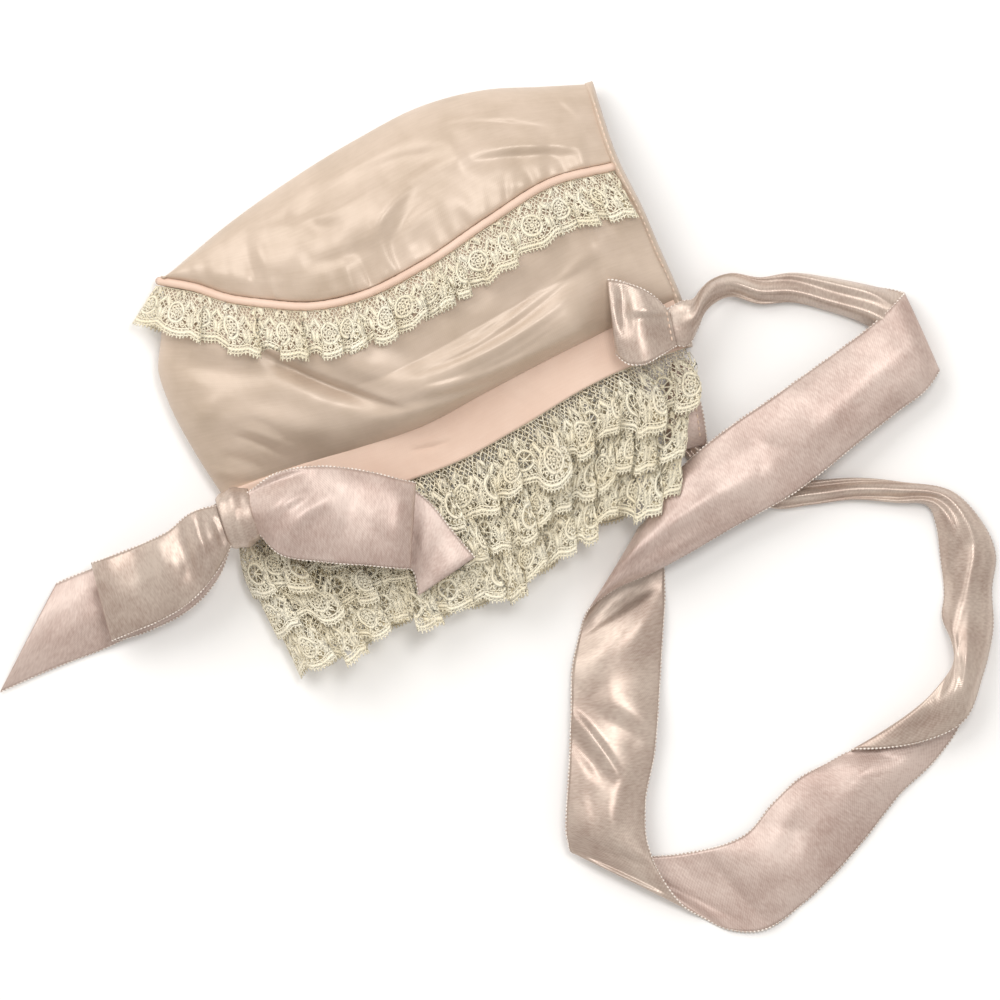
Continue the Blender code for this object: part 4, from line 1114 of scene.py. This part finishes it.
def ribbon_grid(rows, steps, across, seed):
    """A ribbon laid from edge to edge: where its edges come nearer than its width, it bows up.

    The section is the arc over the chord whose half angle solves sin(angle) / angle = chord /
    width. On it lie long shallow buckles, a few sharp slanting creases, and pleats where the
    ribbon is drawn together.
    """
    line = smooth(rows, np.linspace(0, 1, steps + 1))
    first = line[:, :3]
    chord = line[:, 3:6] - first
    length = np.linalg.norm(chord, axis=1)
    width = line[:, 6]
    slack = np.clip(length / width, 0.12, 0.9999)
    low = np.full(len(slack), 0.001)
    high = np.full(len(slack), np.pi)
    for _ in range(30):
        half = (low + high) / 2
        wide = np.sin(half) / half > slack
        low = np.where(wide, half, low)
        high = np.where(wide, high, half)
    aside = unit(chord)
    lift = unit(UP - aside[:, 2:3] * aside)
    radius = length / (2 * np.sin(half))
    part = np.linspace(-1, 1, across + 1)
    turn = part[None, :] * half[:, None]
    along = length[:, None] / 2 + radius[:, None] * np.sin(turn)
    height = radius[:, None] * (np.cos(turn) - np.cos(half)[:, None])
    way = distances(first + chord / 2)
    rng = np.random.default_rng(seed)
    for wave_length in (47.0, 29.0, 18.0, 11.0):
        phase = rng.uniform(0, 2 * np.pi, 3)
        slant = rng.uniform(-0.9, 0.9)
        swell = 0.5 + 0.5 * np.sin(way / (2.7 * wave_length) * 2 * np.pi + phase[0])
        slanting = way[:, None] + slant * part[None, :] * RIBBON_HALF
        wave = np.sin(slanting / wave_length * 2 * np.pi + phase[1]) * (0.35 + 0.65 * part[None, :] ** 2)
        height = height + BUCKLE * wave_length / 47.0 * swell[:, None] * wave
    for pitch, lean, phase in ((23.0, 0.8, 0.3), (31.0, -1.1, 1.9)):
        slanting = way[:, None] + lean * part[None, :] * RIBBON_HALF
        fold = np.abs(np.sin(slanting / pitch * np.pi + phase + seed))
        swell = 0.5 + 0.5 * np.sin(way / 37.0 * 2 * np.pi + seed * phase)
        height = height - 0.9 * BUCKLE * swell[:, None] * np.exp(-fold * 3) * (1 - 0.6 * part[None, :] ** 2)
    drawn = 1 - slack
    pleat = np.sin(part[None, :] * 8.6 + 1.7 * np.sin(way / 14.0)[:, None] + 0.7)
    height = height + 2.1 * drawn[:, None] * pleat * (1 - part[None, :] ** 4)
    grid = first[:, None] + along[..., None] * aside[:, None] + height[..., None] * lift[:, None]
    uv = np.stack(np.broadcast_arrays(way[:, None], part[None, :] * RIBBON_HALF), axis=2)
    return grid, uv


def picot_edge(name, grid, column, inner):
    """The thick thread along a woven edge, drawn out into a small loop at an even pitch.

    Its radius and its distance from the edge follow the same rectified sine of the way along.
    """
    line = grid[:, column]
    way = distances(line)
    fine = np.linspace(0, way[-1], int(way[-1] / (PICOT_PITCH / 5)) + 2)
    outward = unit(line - grid[:, inner], 1e-9)
    path = np.stack([np.interp(fine, way, line[:, axis]) for axis in range(3)], axis=1)
    aside = np.stack([np.interp(fine, way, outward[:, axis]) for axis in range(3)], axis=1)
    beat = np.abs(np.sin(np.pi * fine / PICOT_PITCH))
    path += aside * (0.35 * beat - 0.15)[:, None]
    return tube(name, path, PICOT_SIZE * (0.45 + 0.55 * beat), picot_thread_gap_shade, sides=5)


def ribbon(node, rows, steps, seed, face, back, across=26, folds=()):
    """A finished ribbon piece that stands for its plain solid, with single folds laid over it."""
    name = node + "_satin"
    grid, uv = ribbon_grid(rows, steps, across, seed)
    grid[..., 2] += creases(grid, folds)
    piece = cloth(name, grid, RIBBON_SHEET, face, back, uv)
    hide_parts(node)
    sides = (("a", 0, 1), ("b", -1, -2))
    edges = [picot_edge(f"{name}_picots_{side}", grid, column, inner) for side, column, inner in sides]
    return grid


BOW_LOOP_RIGHT = (
    # x, y, z, x, y, z, width
    (-78.2, 1.8, 21.3, -74.8, -9.6, 21.3, 12.6),
    (-69.0, 8.0, 24.5, -67.5, -16.6, 24.0, 27.0),
    (-57.0, 10.2, 24.5, -55.0, -18.8, 24.0, 30.0),
    (-40.0, 8.5, 23.0, -40.0, -20.0, 23.0, 29.5),
    (-29.0, 5.8, 22.0, -30.3, -20.9, 22.0, 28.0),
    (-26.0, 5.2, 20.3, -27.6, -21.0, 20.3, 27.0),
    (-29.0, 5.8, 18.4, -30.3, -20.0, 18.4, 27.0),
    (-42.0, 8.0, 18.2, -42.0, -18.5, 18.2, 27.0),
    (-57.0, 8.2, 18.4, -56.0, -16.0, 18.4, 25.0),
    (-68.0, 5.0, 18.4, -67.0, -12.0, 18.4, 18.0),
    (-78.0, 1.4, 17.6, -74.9, -9.0, 17.6, 11.4),
)
BOW_LOOP_LEFT = (
    # x, y, z, x, y, z, width
    (-85.60, -1.60, 19.6, -82.20, -12.60, 19.6, 11.8),
    (-94.0, -3.6, 21.4, -86.6, -21.0, 20.6, 20.0),
    (-103.0, -10.3, 18.0, -95.0, -30.8, 18.0, 22.8),
    (-113.0, -14.8, 14.0, -104.5, -36.8, 14.0, 24.4),
    (-122.6, -18.4, 11.4, -115.8, -41.6, 11.4, 25.0),
    (-126.2, -19.8, 9.0, -120.0, -43.4, 9.0, 25.4),
    (-122.6, -18.8, 6.6, -115.6, -42.6, 6.6, 25.6),
    (-113.0, -15.4, 8.2, -103.9, -38.2, 8.2, 25.4),
    (-103.0, -11.3, 11.4, -94.4, -32.4, 11.4, 23.7),
    (-94.0, -5.0, 15.6, -86.2, -22.4, 15.6, 19.9),
    (-86.6, -0.8, 17.4, -82.7, -12.5, 17.4, 12.9),
)
BOW_TAIL_RIGHT = (
    # x, y, z, x, y, z, width
    (-76.27, 0.31, 14.8, -73.91, -7.33, 14.8, 8.2),
    (-62.0, 5.0, 16.0, -61.0, -14.0, 16.0, 19.1),
    (-45.0, 8.0, 16.0, -46.0, -15.5, 16.0, 23.8),
    (-31.0, 5.6, 16.0, -33.0, -17.5, 16.0, 23.4),
    (-22.0, -0.6, 16.2, -27.0, -21.5, 16.0, 21.7),
    (-14.6, -9.8, 16.4, -25.6, -25.6, 16.0, 19.4),
    (-7.9, -17.8, 16.6, -25.0, -29.4, 16.0, 20.8),
)
BOW_TAIL_LEFT = (
    # x, y, z, x, y, z, width
    (-88.49, -3.47, 14.2, -86.13, -11.11, 14.2, 8.2),
    (-95.5, -8.0, 12.0, -90.0, -22.0, 11.5, 16.0),
    (-104.0, -12.6, 7.6, -97.0, -31.0, 7.2, 20.5),
    (-115.0, -17.2, 3.4, -107.0, -38.0, 3.2, 23.0),
    (-127.0, -21.7, 1.4, -121.1, -45.2, 1.0, 25.5),
    (-132.5, -23.9, 1.2, -139.3, -52.4, 0.7, 30.0),
    (-137.6, -26.1, 0.9, -154.8, -59.3, 0.6, 38.0),
)
BOW_RIGHT_FOLDS = (
    # from x, y, to x, y, bow to the left, half width, height, skew
    (-79.0, 0.6, -58.0, 10.0, 0.6, 2.2, -3.2, 0.4),
    (-74.0, -5.0, -58.0, 3.0, 0.4, 1.8, 1.0, 0.0),
    (-70.0, -14.0, -50.0, 3.0, 1.0, 2.6, 1.1, 0.2),
    (-50.0, -18.0, -40.0, 8.0, 1.0, 3.5, -0.7, 0.0),
    (-76.0, -7.0, -62.0, -18.0, -1.0, 2.2, -1.2, 0.0),
)
ribbon(
    "bow_loop_right", BOW_LOOP_RIGHT, 110, 4, satin_face, satin_back, folds=BOW_RIGHT_FOLDS
)
BOW_LEFT_FOLDS = (
    # from x, y, to x, y, bow to the left, half width, height, skew
    (-105.5, -9.0, -99.5, -35.0, -1.0, 3.6, 1.9, -0.3),
    (-98.0, -4.0, -92.0, -29.0, -1.2, 2.4, -1.9, 0.2),
    (-93.6, -3.0, -86.6, -23.0, -1.6, 1.5, 1.5, 0.2),
    (-89.0, -5.0, -85.0, -15.0, 0.4, 0.9, -0.9, 0.0),
    (-114.0, -14.0, -107.0, -39.0, -0.8, 3.0, -0.7, 0.0),
)
ribbon(
    "bow_loop_left", BOW_LOOP_LEFT, 110, 6, satin_face, satin_back, folds=BOW_LEFT_FOLDS
)
ribbon("bow_tail_right", BOW_TAIL_RIGHT, 60, 9, satin_face, satin_back)
ribbon("bow_tail_left", BOW_TAIL_LEFT, 60, 12, satin_back, satin_face)

KNOT_CENTRE = np.array([-80.5, -5.5, 17.5])
KNOT_AXIS = np.array([0.955, 0.296, 0.0])
KNOT_SIDE = np.array([-0.296, 0.955, 0.0])
KNOT_HALF = 5.2
KNOT_BREADTH = 9.3
KNOT_HEIGHT = 6.3
knot_way = np.linspace(-1, 1, 25)
knot_turn = np.linspace(0, 2 * np.pi, 72)
knot_girth = 1 - 0.20 * np.abs(knot_way) ** 2.4
knot_folds = 0.03 * np.sin(6.8 * knot_way[:, None] + 1.6 * np.sin(knot_turn)[None, :] + 0.6)
knot_reach = knot_girth[:, None] * (1 + knot_folds)
knot = (
    KNOT_CENTRE
    + KNOT_HALF * knot_way[:, None, None] * KNOT_AXIS
    + (KNOT_BREADTH * knot_reach * np.cos(knot_turn))[..., None] * KNOT_SIDE
    + (KNOT_HEIGHT * knot_reach * np.sin(knot_turn))[..., None] * UP
)
knot_uv = np.stack(np.broadcast_arrays(knot_turn[None, :] * 8.0, knot_way[:, None] * 14.0), axis=2)
knot_piece = cloth("bow_knot_satin", knot, RIBBON_SHEET, satin_face, satin_face, knot_uv)
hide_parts("bow_knot")


# Chin loops: the ribbon is pleated into a small loop and stitched down at each chin corner. The
# one on the lower half shows only a little past the lace.
CHIN_LOOP = (
    # x, y, z, x, y, z, width
    (52.4, 57.6, 18.0, 54.5, 47.8, 18.4, 10.2),
    (46.8, 63.0, 20.6, 49.8, 44.8, 22.6, 18.6),
    (41.0, 66.0, 21.4, 44.0, 41.8, 24.4, 24.7),
    (36.2, 67.4, 21.2, 39.0, 42.2, 23.4, 25.6),
    (33.2, 67.6, 20.0, 35.6, 45.4, 20.6, 23.0),
    (35.4, 66.6, 18.2, 38.2, 44.2, 16.8, 23.2),
    (41.0, 64.8, 17.8, 43.6, 43.0, 15.6, 22.6),
    (46.8, 61.6, 16.4, 48.8, 45.6, 15.2, 16.6),
    (51.6, 57.2, 15.0, 53.6, 48.4, 14.8, 9.3),
)
CHIN_LOOP_HIDDEN = (
    # x, y, z, x, y, z, width
    (53.6, 42.8, 2.0, 58.9, 43.4, 2.0, 6.2),
    (51.6, 36.0, 1.0, 59.8, 36.8, 1.0, 9.2),
    (50.6, 27.0, 0.8, 62.0, 28.8, 0.8, 12.6),
    (51.6, 17.0, 1.4, 63.8, 19.6, 1.4, 13.4),
    (52.4, 14.6, 3.8, 63.9, 17.2, 3.8, 12.6),
    (51.8, 17.6, 6.2, 63.6, 20.2, 6.2, 12.6),
    (51.4, 28.0, 6.8, 62.0, 29.6, 6.8, 11.4),
    (52.6, 37.0, 6.4, 59.4, 37.8, 6.4, 7.8),
    (54.0, 42.6, 5.0, 58.6, 43.2, 5.0, 5.4),
)
CHIN_FOLDS = (
    # from x, y, to x, y, bow to the left, half width, height, skew
    (37.6, 57.8, 56.0, 57.2, 0.3, 2.6, 1.5, -0.6),
    (37.0, 69.0, 38.6, 50.0, 0.4, 2.2, -1.7, 0.0),
    (48.6, 58.0, 55.0, 44.0, -0.8, 3.2, -1.5, 0.0),
    (42.4, 67.0, 46.0, 56.4, 0.4, 2.0, 0.7, 0.0),
)
chin = ribbon(
    "chin_loop", CHIN_LOOP, 80, 15, satin_face, satin_back, folds=CHIN_FOLDS
)
hidden = ribbon("chin_loop_hidden", CHIN_LOOP_HIDDEN, 80, 18, satin_face, satin_back)
CHIN_STITCH_PITCH = 2.0
CHIN_STITCH = 1.3
CHIN_STITCH_RADIUS = 0.28
for name, line in (("chin_stitches", chin[3]), ("chin_hidden_stitches", hidden[44:76, -5])):
    line = line + CHIN_STITCH_RADIUS * UP
    row = stitches(name, line, CHIN_STITCH_PITCH, CHIN_STITCH, CHIN_STITCH_RADIUS, sewing_thread)


# Chin strap: one whole ribbon from chin corner to chin corner, lying in a wide turn on the
# table. It turns over at four slanting folds, so its glossy and its duller side show by turns,
# and it is drawn together where it leaves the corners.
CHIN_RIBBON = (
    # x, y, z, x, y, z, width
    (51.4, 58.6, 16.9, 53.6, 48.0, 16.7, 10.9),
    (55.8, 61.0, 16.6, 57.8, 47.8, 16.2, 13.9),
    (59.4, 61.8, 14.8, 60.8, 52.6, 14.0, 13.0),
    (61.8, 64.6, 11.2, 63.3, 58.6, 10.8, 13.4),
    (66.0, 67.6, 6.0, 67.6, 62.6, 6.0, 15.0),
    (71.4, 69.3, 2.0, 71.8, 63.8, 2.0, 16.0),
    (80.3, 68.2, 1.0, 80.3, 61.4, 1.0, 17.0),
    (90.0, 69.8, 1.0, 90.0, 61.8, 1.0, 18.0),
    (103.0, 68.2, 1.0, 102.0, 59.0, 1.0, 20.0),
    (114.5, 66.2, 1.0, 113.5, 54.5, 1.0, 22.0),
    (121.5, 65.0, 1.0, 125.5, 44.5, 1.0, 27.0),
    (124.4, 64.2, 2.2, 133.0, 41.6, 2.2, 27.0),
    (125.2, 63.8, 4.6, 135.8, 40.6, 4.6, 27.0),
    (123.6, 62.0, 7.2, 134.8, 38.6, 7.2, 27.0),
    (118.0, 56.4, 8.4, 132.0, 34.6, 8.2, 27.5),
    (105.6, 46.7, 9.0, 123.0, 27.6, 9.0, 28.0),
    (94.0, 38.4, 10.0, 111.0, 18.2, 10.4, 28.5),
    (83.0, 30.6, 10.6, 99.5, 8.8, 11.6, 28.5),
    (73.5, 24.2, 10.8, 90.0, 1.8, 11.8, 28.5),
    (64.7, 17.6, 10.8, 81.0, -3.3, 11.4, 28.5),
    (56.5, 10.3, 10.4, 71.0, -8.8, 10.6, 28.5),
    (50.0, 2.6, 9.8, 58.5, -16.2, 10.0, 28.0),
    (47.2, -2.6, 9.2, 46.5, -22.6, 9.4, 28.0),
    (44.6, -7.0, 8.2, 35.4, -27.6, 8.6, 30.0),
    (42.6, -9.8, 5.4, 27.8, -33.4, 5.4, 30.0),
    (44.8, -11.8, 2.0, 26.2, -36.6, 2.2, 31.0),
    (49.8, -17.6, 0.8, 25.4, -39.4, 1.0, 32.0),
    (50.9, -27.8, 0.8, 24.2, -44.0, 1.2, 31.4),
    (50.2, -42.0, 1.2, 22.6, -52.0, 3.0, 29.8),
    (49.0, -62.0, 2.4, 22.2, -67.0, 4.8, 27.9),
    (47.6, -79.0, 3.8, 21.6, -82.0, 6.4, 26.9),
    (44.8, -94.0, 5.0, 20.8, -95.0, 7.4, 24.9),
    (45.4, -106.0, 6.0, 20.6, -101.6, 7.0, 26.0),
    (51.0, -118.6, 6.0, 21.2, -105.6, 6.0, 32.0),
    (56.6, -125.6, 3.8, 22.6, -109.2, 3.8, 38.0),
    (62.6, -129.2, 1.2, 29.0, -109.0, 1.4, 38.0),
    (72.0, -133.2, 0.8, 45.0, -110.6, 0.8, 34.0),
    (81.8, -133.0, 0.8, 60.0, -109.2, 1.0, 32.0),
    (94.2, -124.6, 0.8, 76.0, -103.8, 2.0, 29.0),
    (104.2, -115.0, 0.8, 84.8, -93.8, 2.4, 29.5),
    (114.3, -103.2, 0.8, 93.0, -86.2, 1.8, 28.5),
    (124.0, -90.8, 0.8, 102.0, -81.4, 1.2, 26.0),
    (136.0, -79.0, 0.8, 107.0, -78.6, 0.9, 29.5),
    (142.8, -68.0, 0.9, 109.0, -77.8, 1.4, 35.6),
    (142.8, -55.8, 3.8, 110.2, -77.0, 3.8, 39.2),
    (141.6, -51.2, 6.8, 118.0, -76.6, 6.6, 34.8),
    (141.0, -48.4, 8.4, 131.0, -74.4, 7.2, 28.0),
    (140.2, -45.8, 9.0, 143.2, -68.2, 7.6, 23.6),
    (139.4, -42.6, 7.2, 149.4, -53.4, 6.0, 18.0),
    (137.0, -35.4, 4.0, 152.6, -38.0, 2.6, 19.0),
    (137.8, -29.4, 2.0, 152.2, -28.4, 1.2, 19.0),
    (136.6, -17.6, 1.8, 153.4, -16.8, 1.2, 21.0),
    (135.2, -7.6, 3.4, 149.4, -7.2, 2.4, 18.0),
    (132.6, -1.8, 2.2, 140.6, 2.2, 2.2, 14.0),
    (122.4, -0.5, 0.9, 124.4, 5.2, 0.9, 13.0),
    (109.1, 0.4, 0.8, 111.0, 6.6, 0.8, 13.0),
    (96.4, -1.2, 0.8, 97.0, 5.8, 0.8, 13.5),
    (84.0, -2.2, 0.8, 86.0, 4.6, 0.8, 13.5),
    (73.6, 4.0, 0.8, 78.6, 9.6, 0.8, 14.0),
    (66.2, 10.6, 0.8, 70.6, 15.6, 0.8, 13.0),
    (60.4, 11.2, 0.8, 63.2, 15.6, 0.8, 11.0),
    (56.0, 16.4, 0.8, 59.6, 18.4, 0.8, 9.0),
)
STRAP_FOLDS = (
    # from x, y, to x, y, bow to the left, half width, height, skew
    (54.0, -31.0, 24.0, -58.0, -1.0, 6.4, 1.9, -0.2),
    (28.0, -36.0, 45.0, -24.0, 1.0, 3.8, -1.1, 0.0),
    (20.0, -63.0, 37.0, -86.0, 0.8, 1.8, 1.5, 0.3),
    (19.0, -70.0, 35.0, -90.0, 0.8, 2.8, -1.2, 0.0),
    (30.0, -60.0, 54.0, -78.0, 2.4, 5.6, 1.5, -0.3),
    (40.0, -76.0, 30.0, -108.0, 1.0, 5.0, 1.0, 0.2),
    (27.0, -84.0, 36.0, -114.0, -1.0, 2.8, -0.6, 0.0),
    (86.0, -84.0, 60.0, -116.0, -2.0, 6.0, 0.9, 0.2),
    (98.0, -84.0, 82.0, -124.0, 2.0, 5.0, -0.8, 0.0),
    (120.0, -79.0, 100.0, -112.0, -2.0, 5.0, 0.8, 0.0),
    (118.0, -70.0, 148.0, -58.0, 1.0, 4.0, 1.2, 0.0),
    (139.0, -50.0, 147.0, -14.0, 0.8, 2.0, 1.6, 0.0),
    (135.0, -46.0, 143.0, -12.0, 0.8, 1.8, -1.1, 0.0),
    (92.0, 36.0, 100.0, 10.0, 2.0, 7.0, 0.7, 0.0),
    (66.0, 14.0, 76.0, -8.0, -2.0, 6.0, -0.7, 0.0),
)
ribbon(
    "chin_ribbon", CHIN_RIBBON, 620, 23, satin_back, satin_face, across=30,
    folds=STRAP_FOLDS,
)
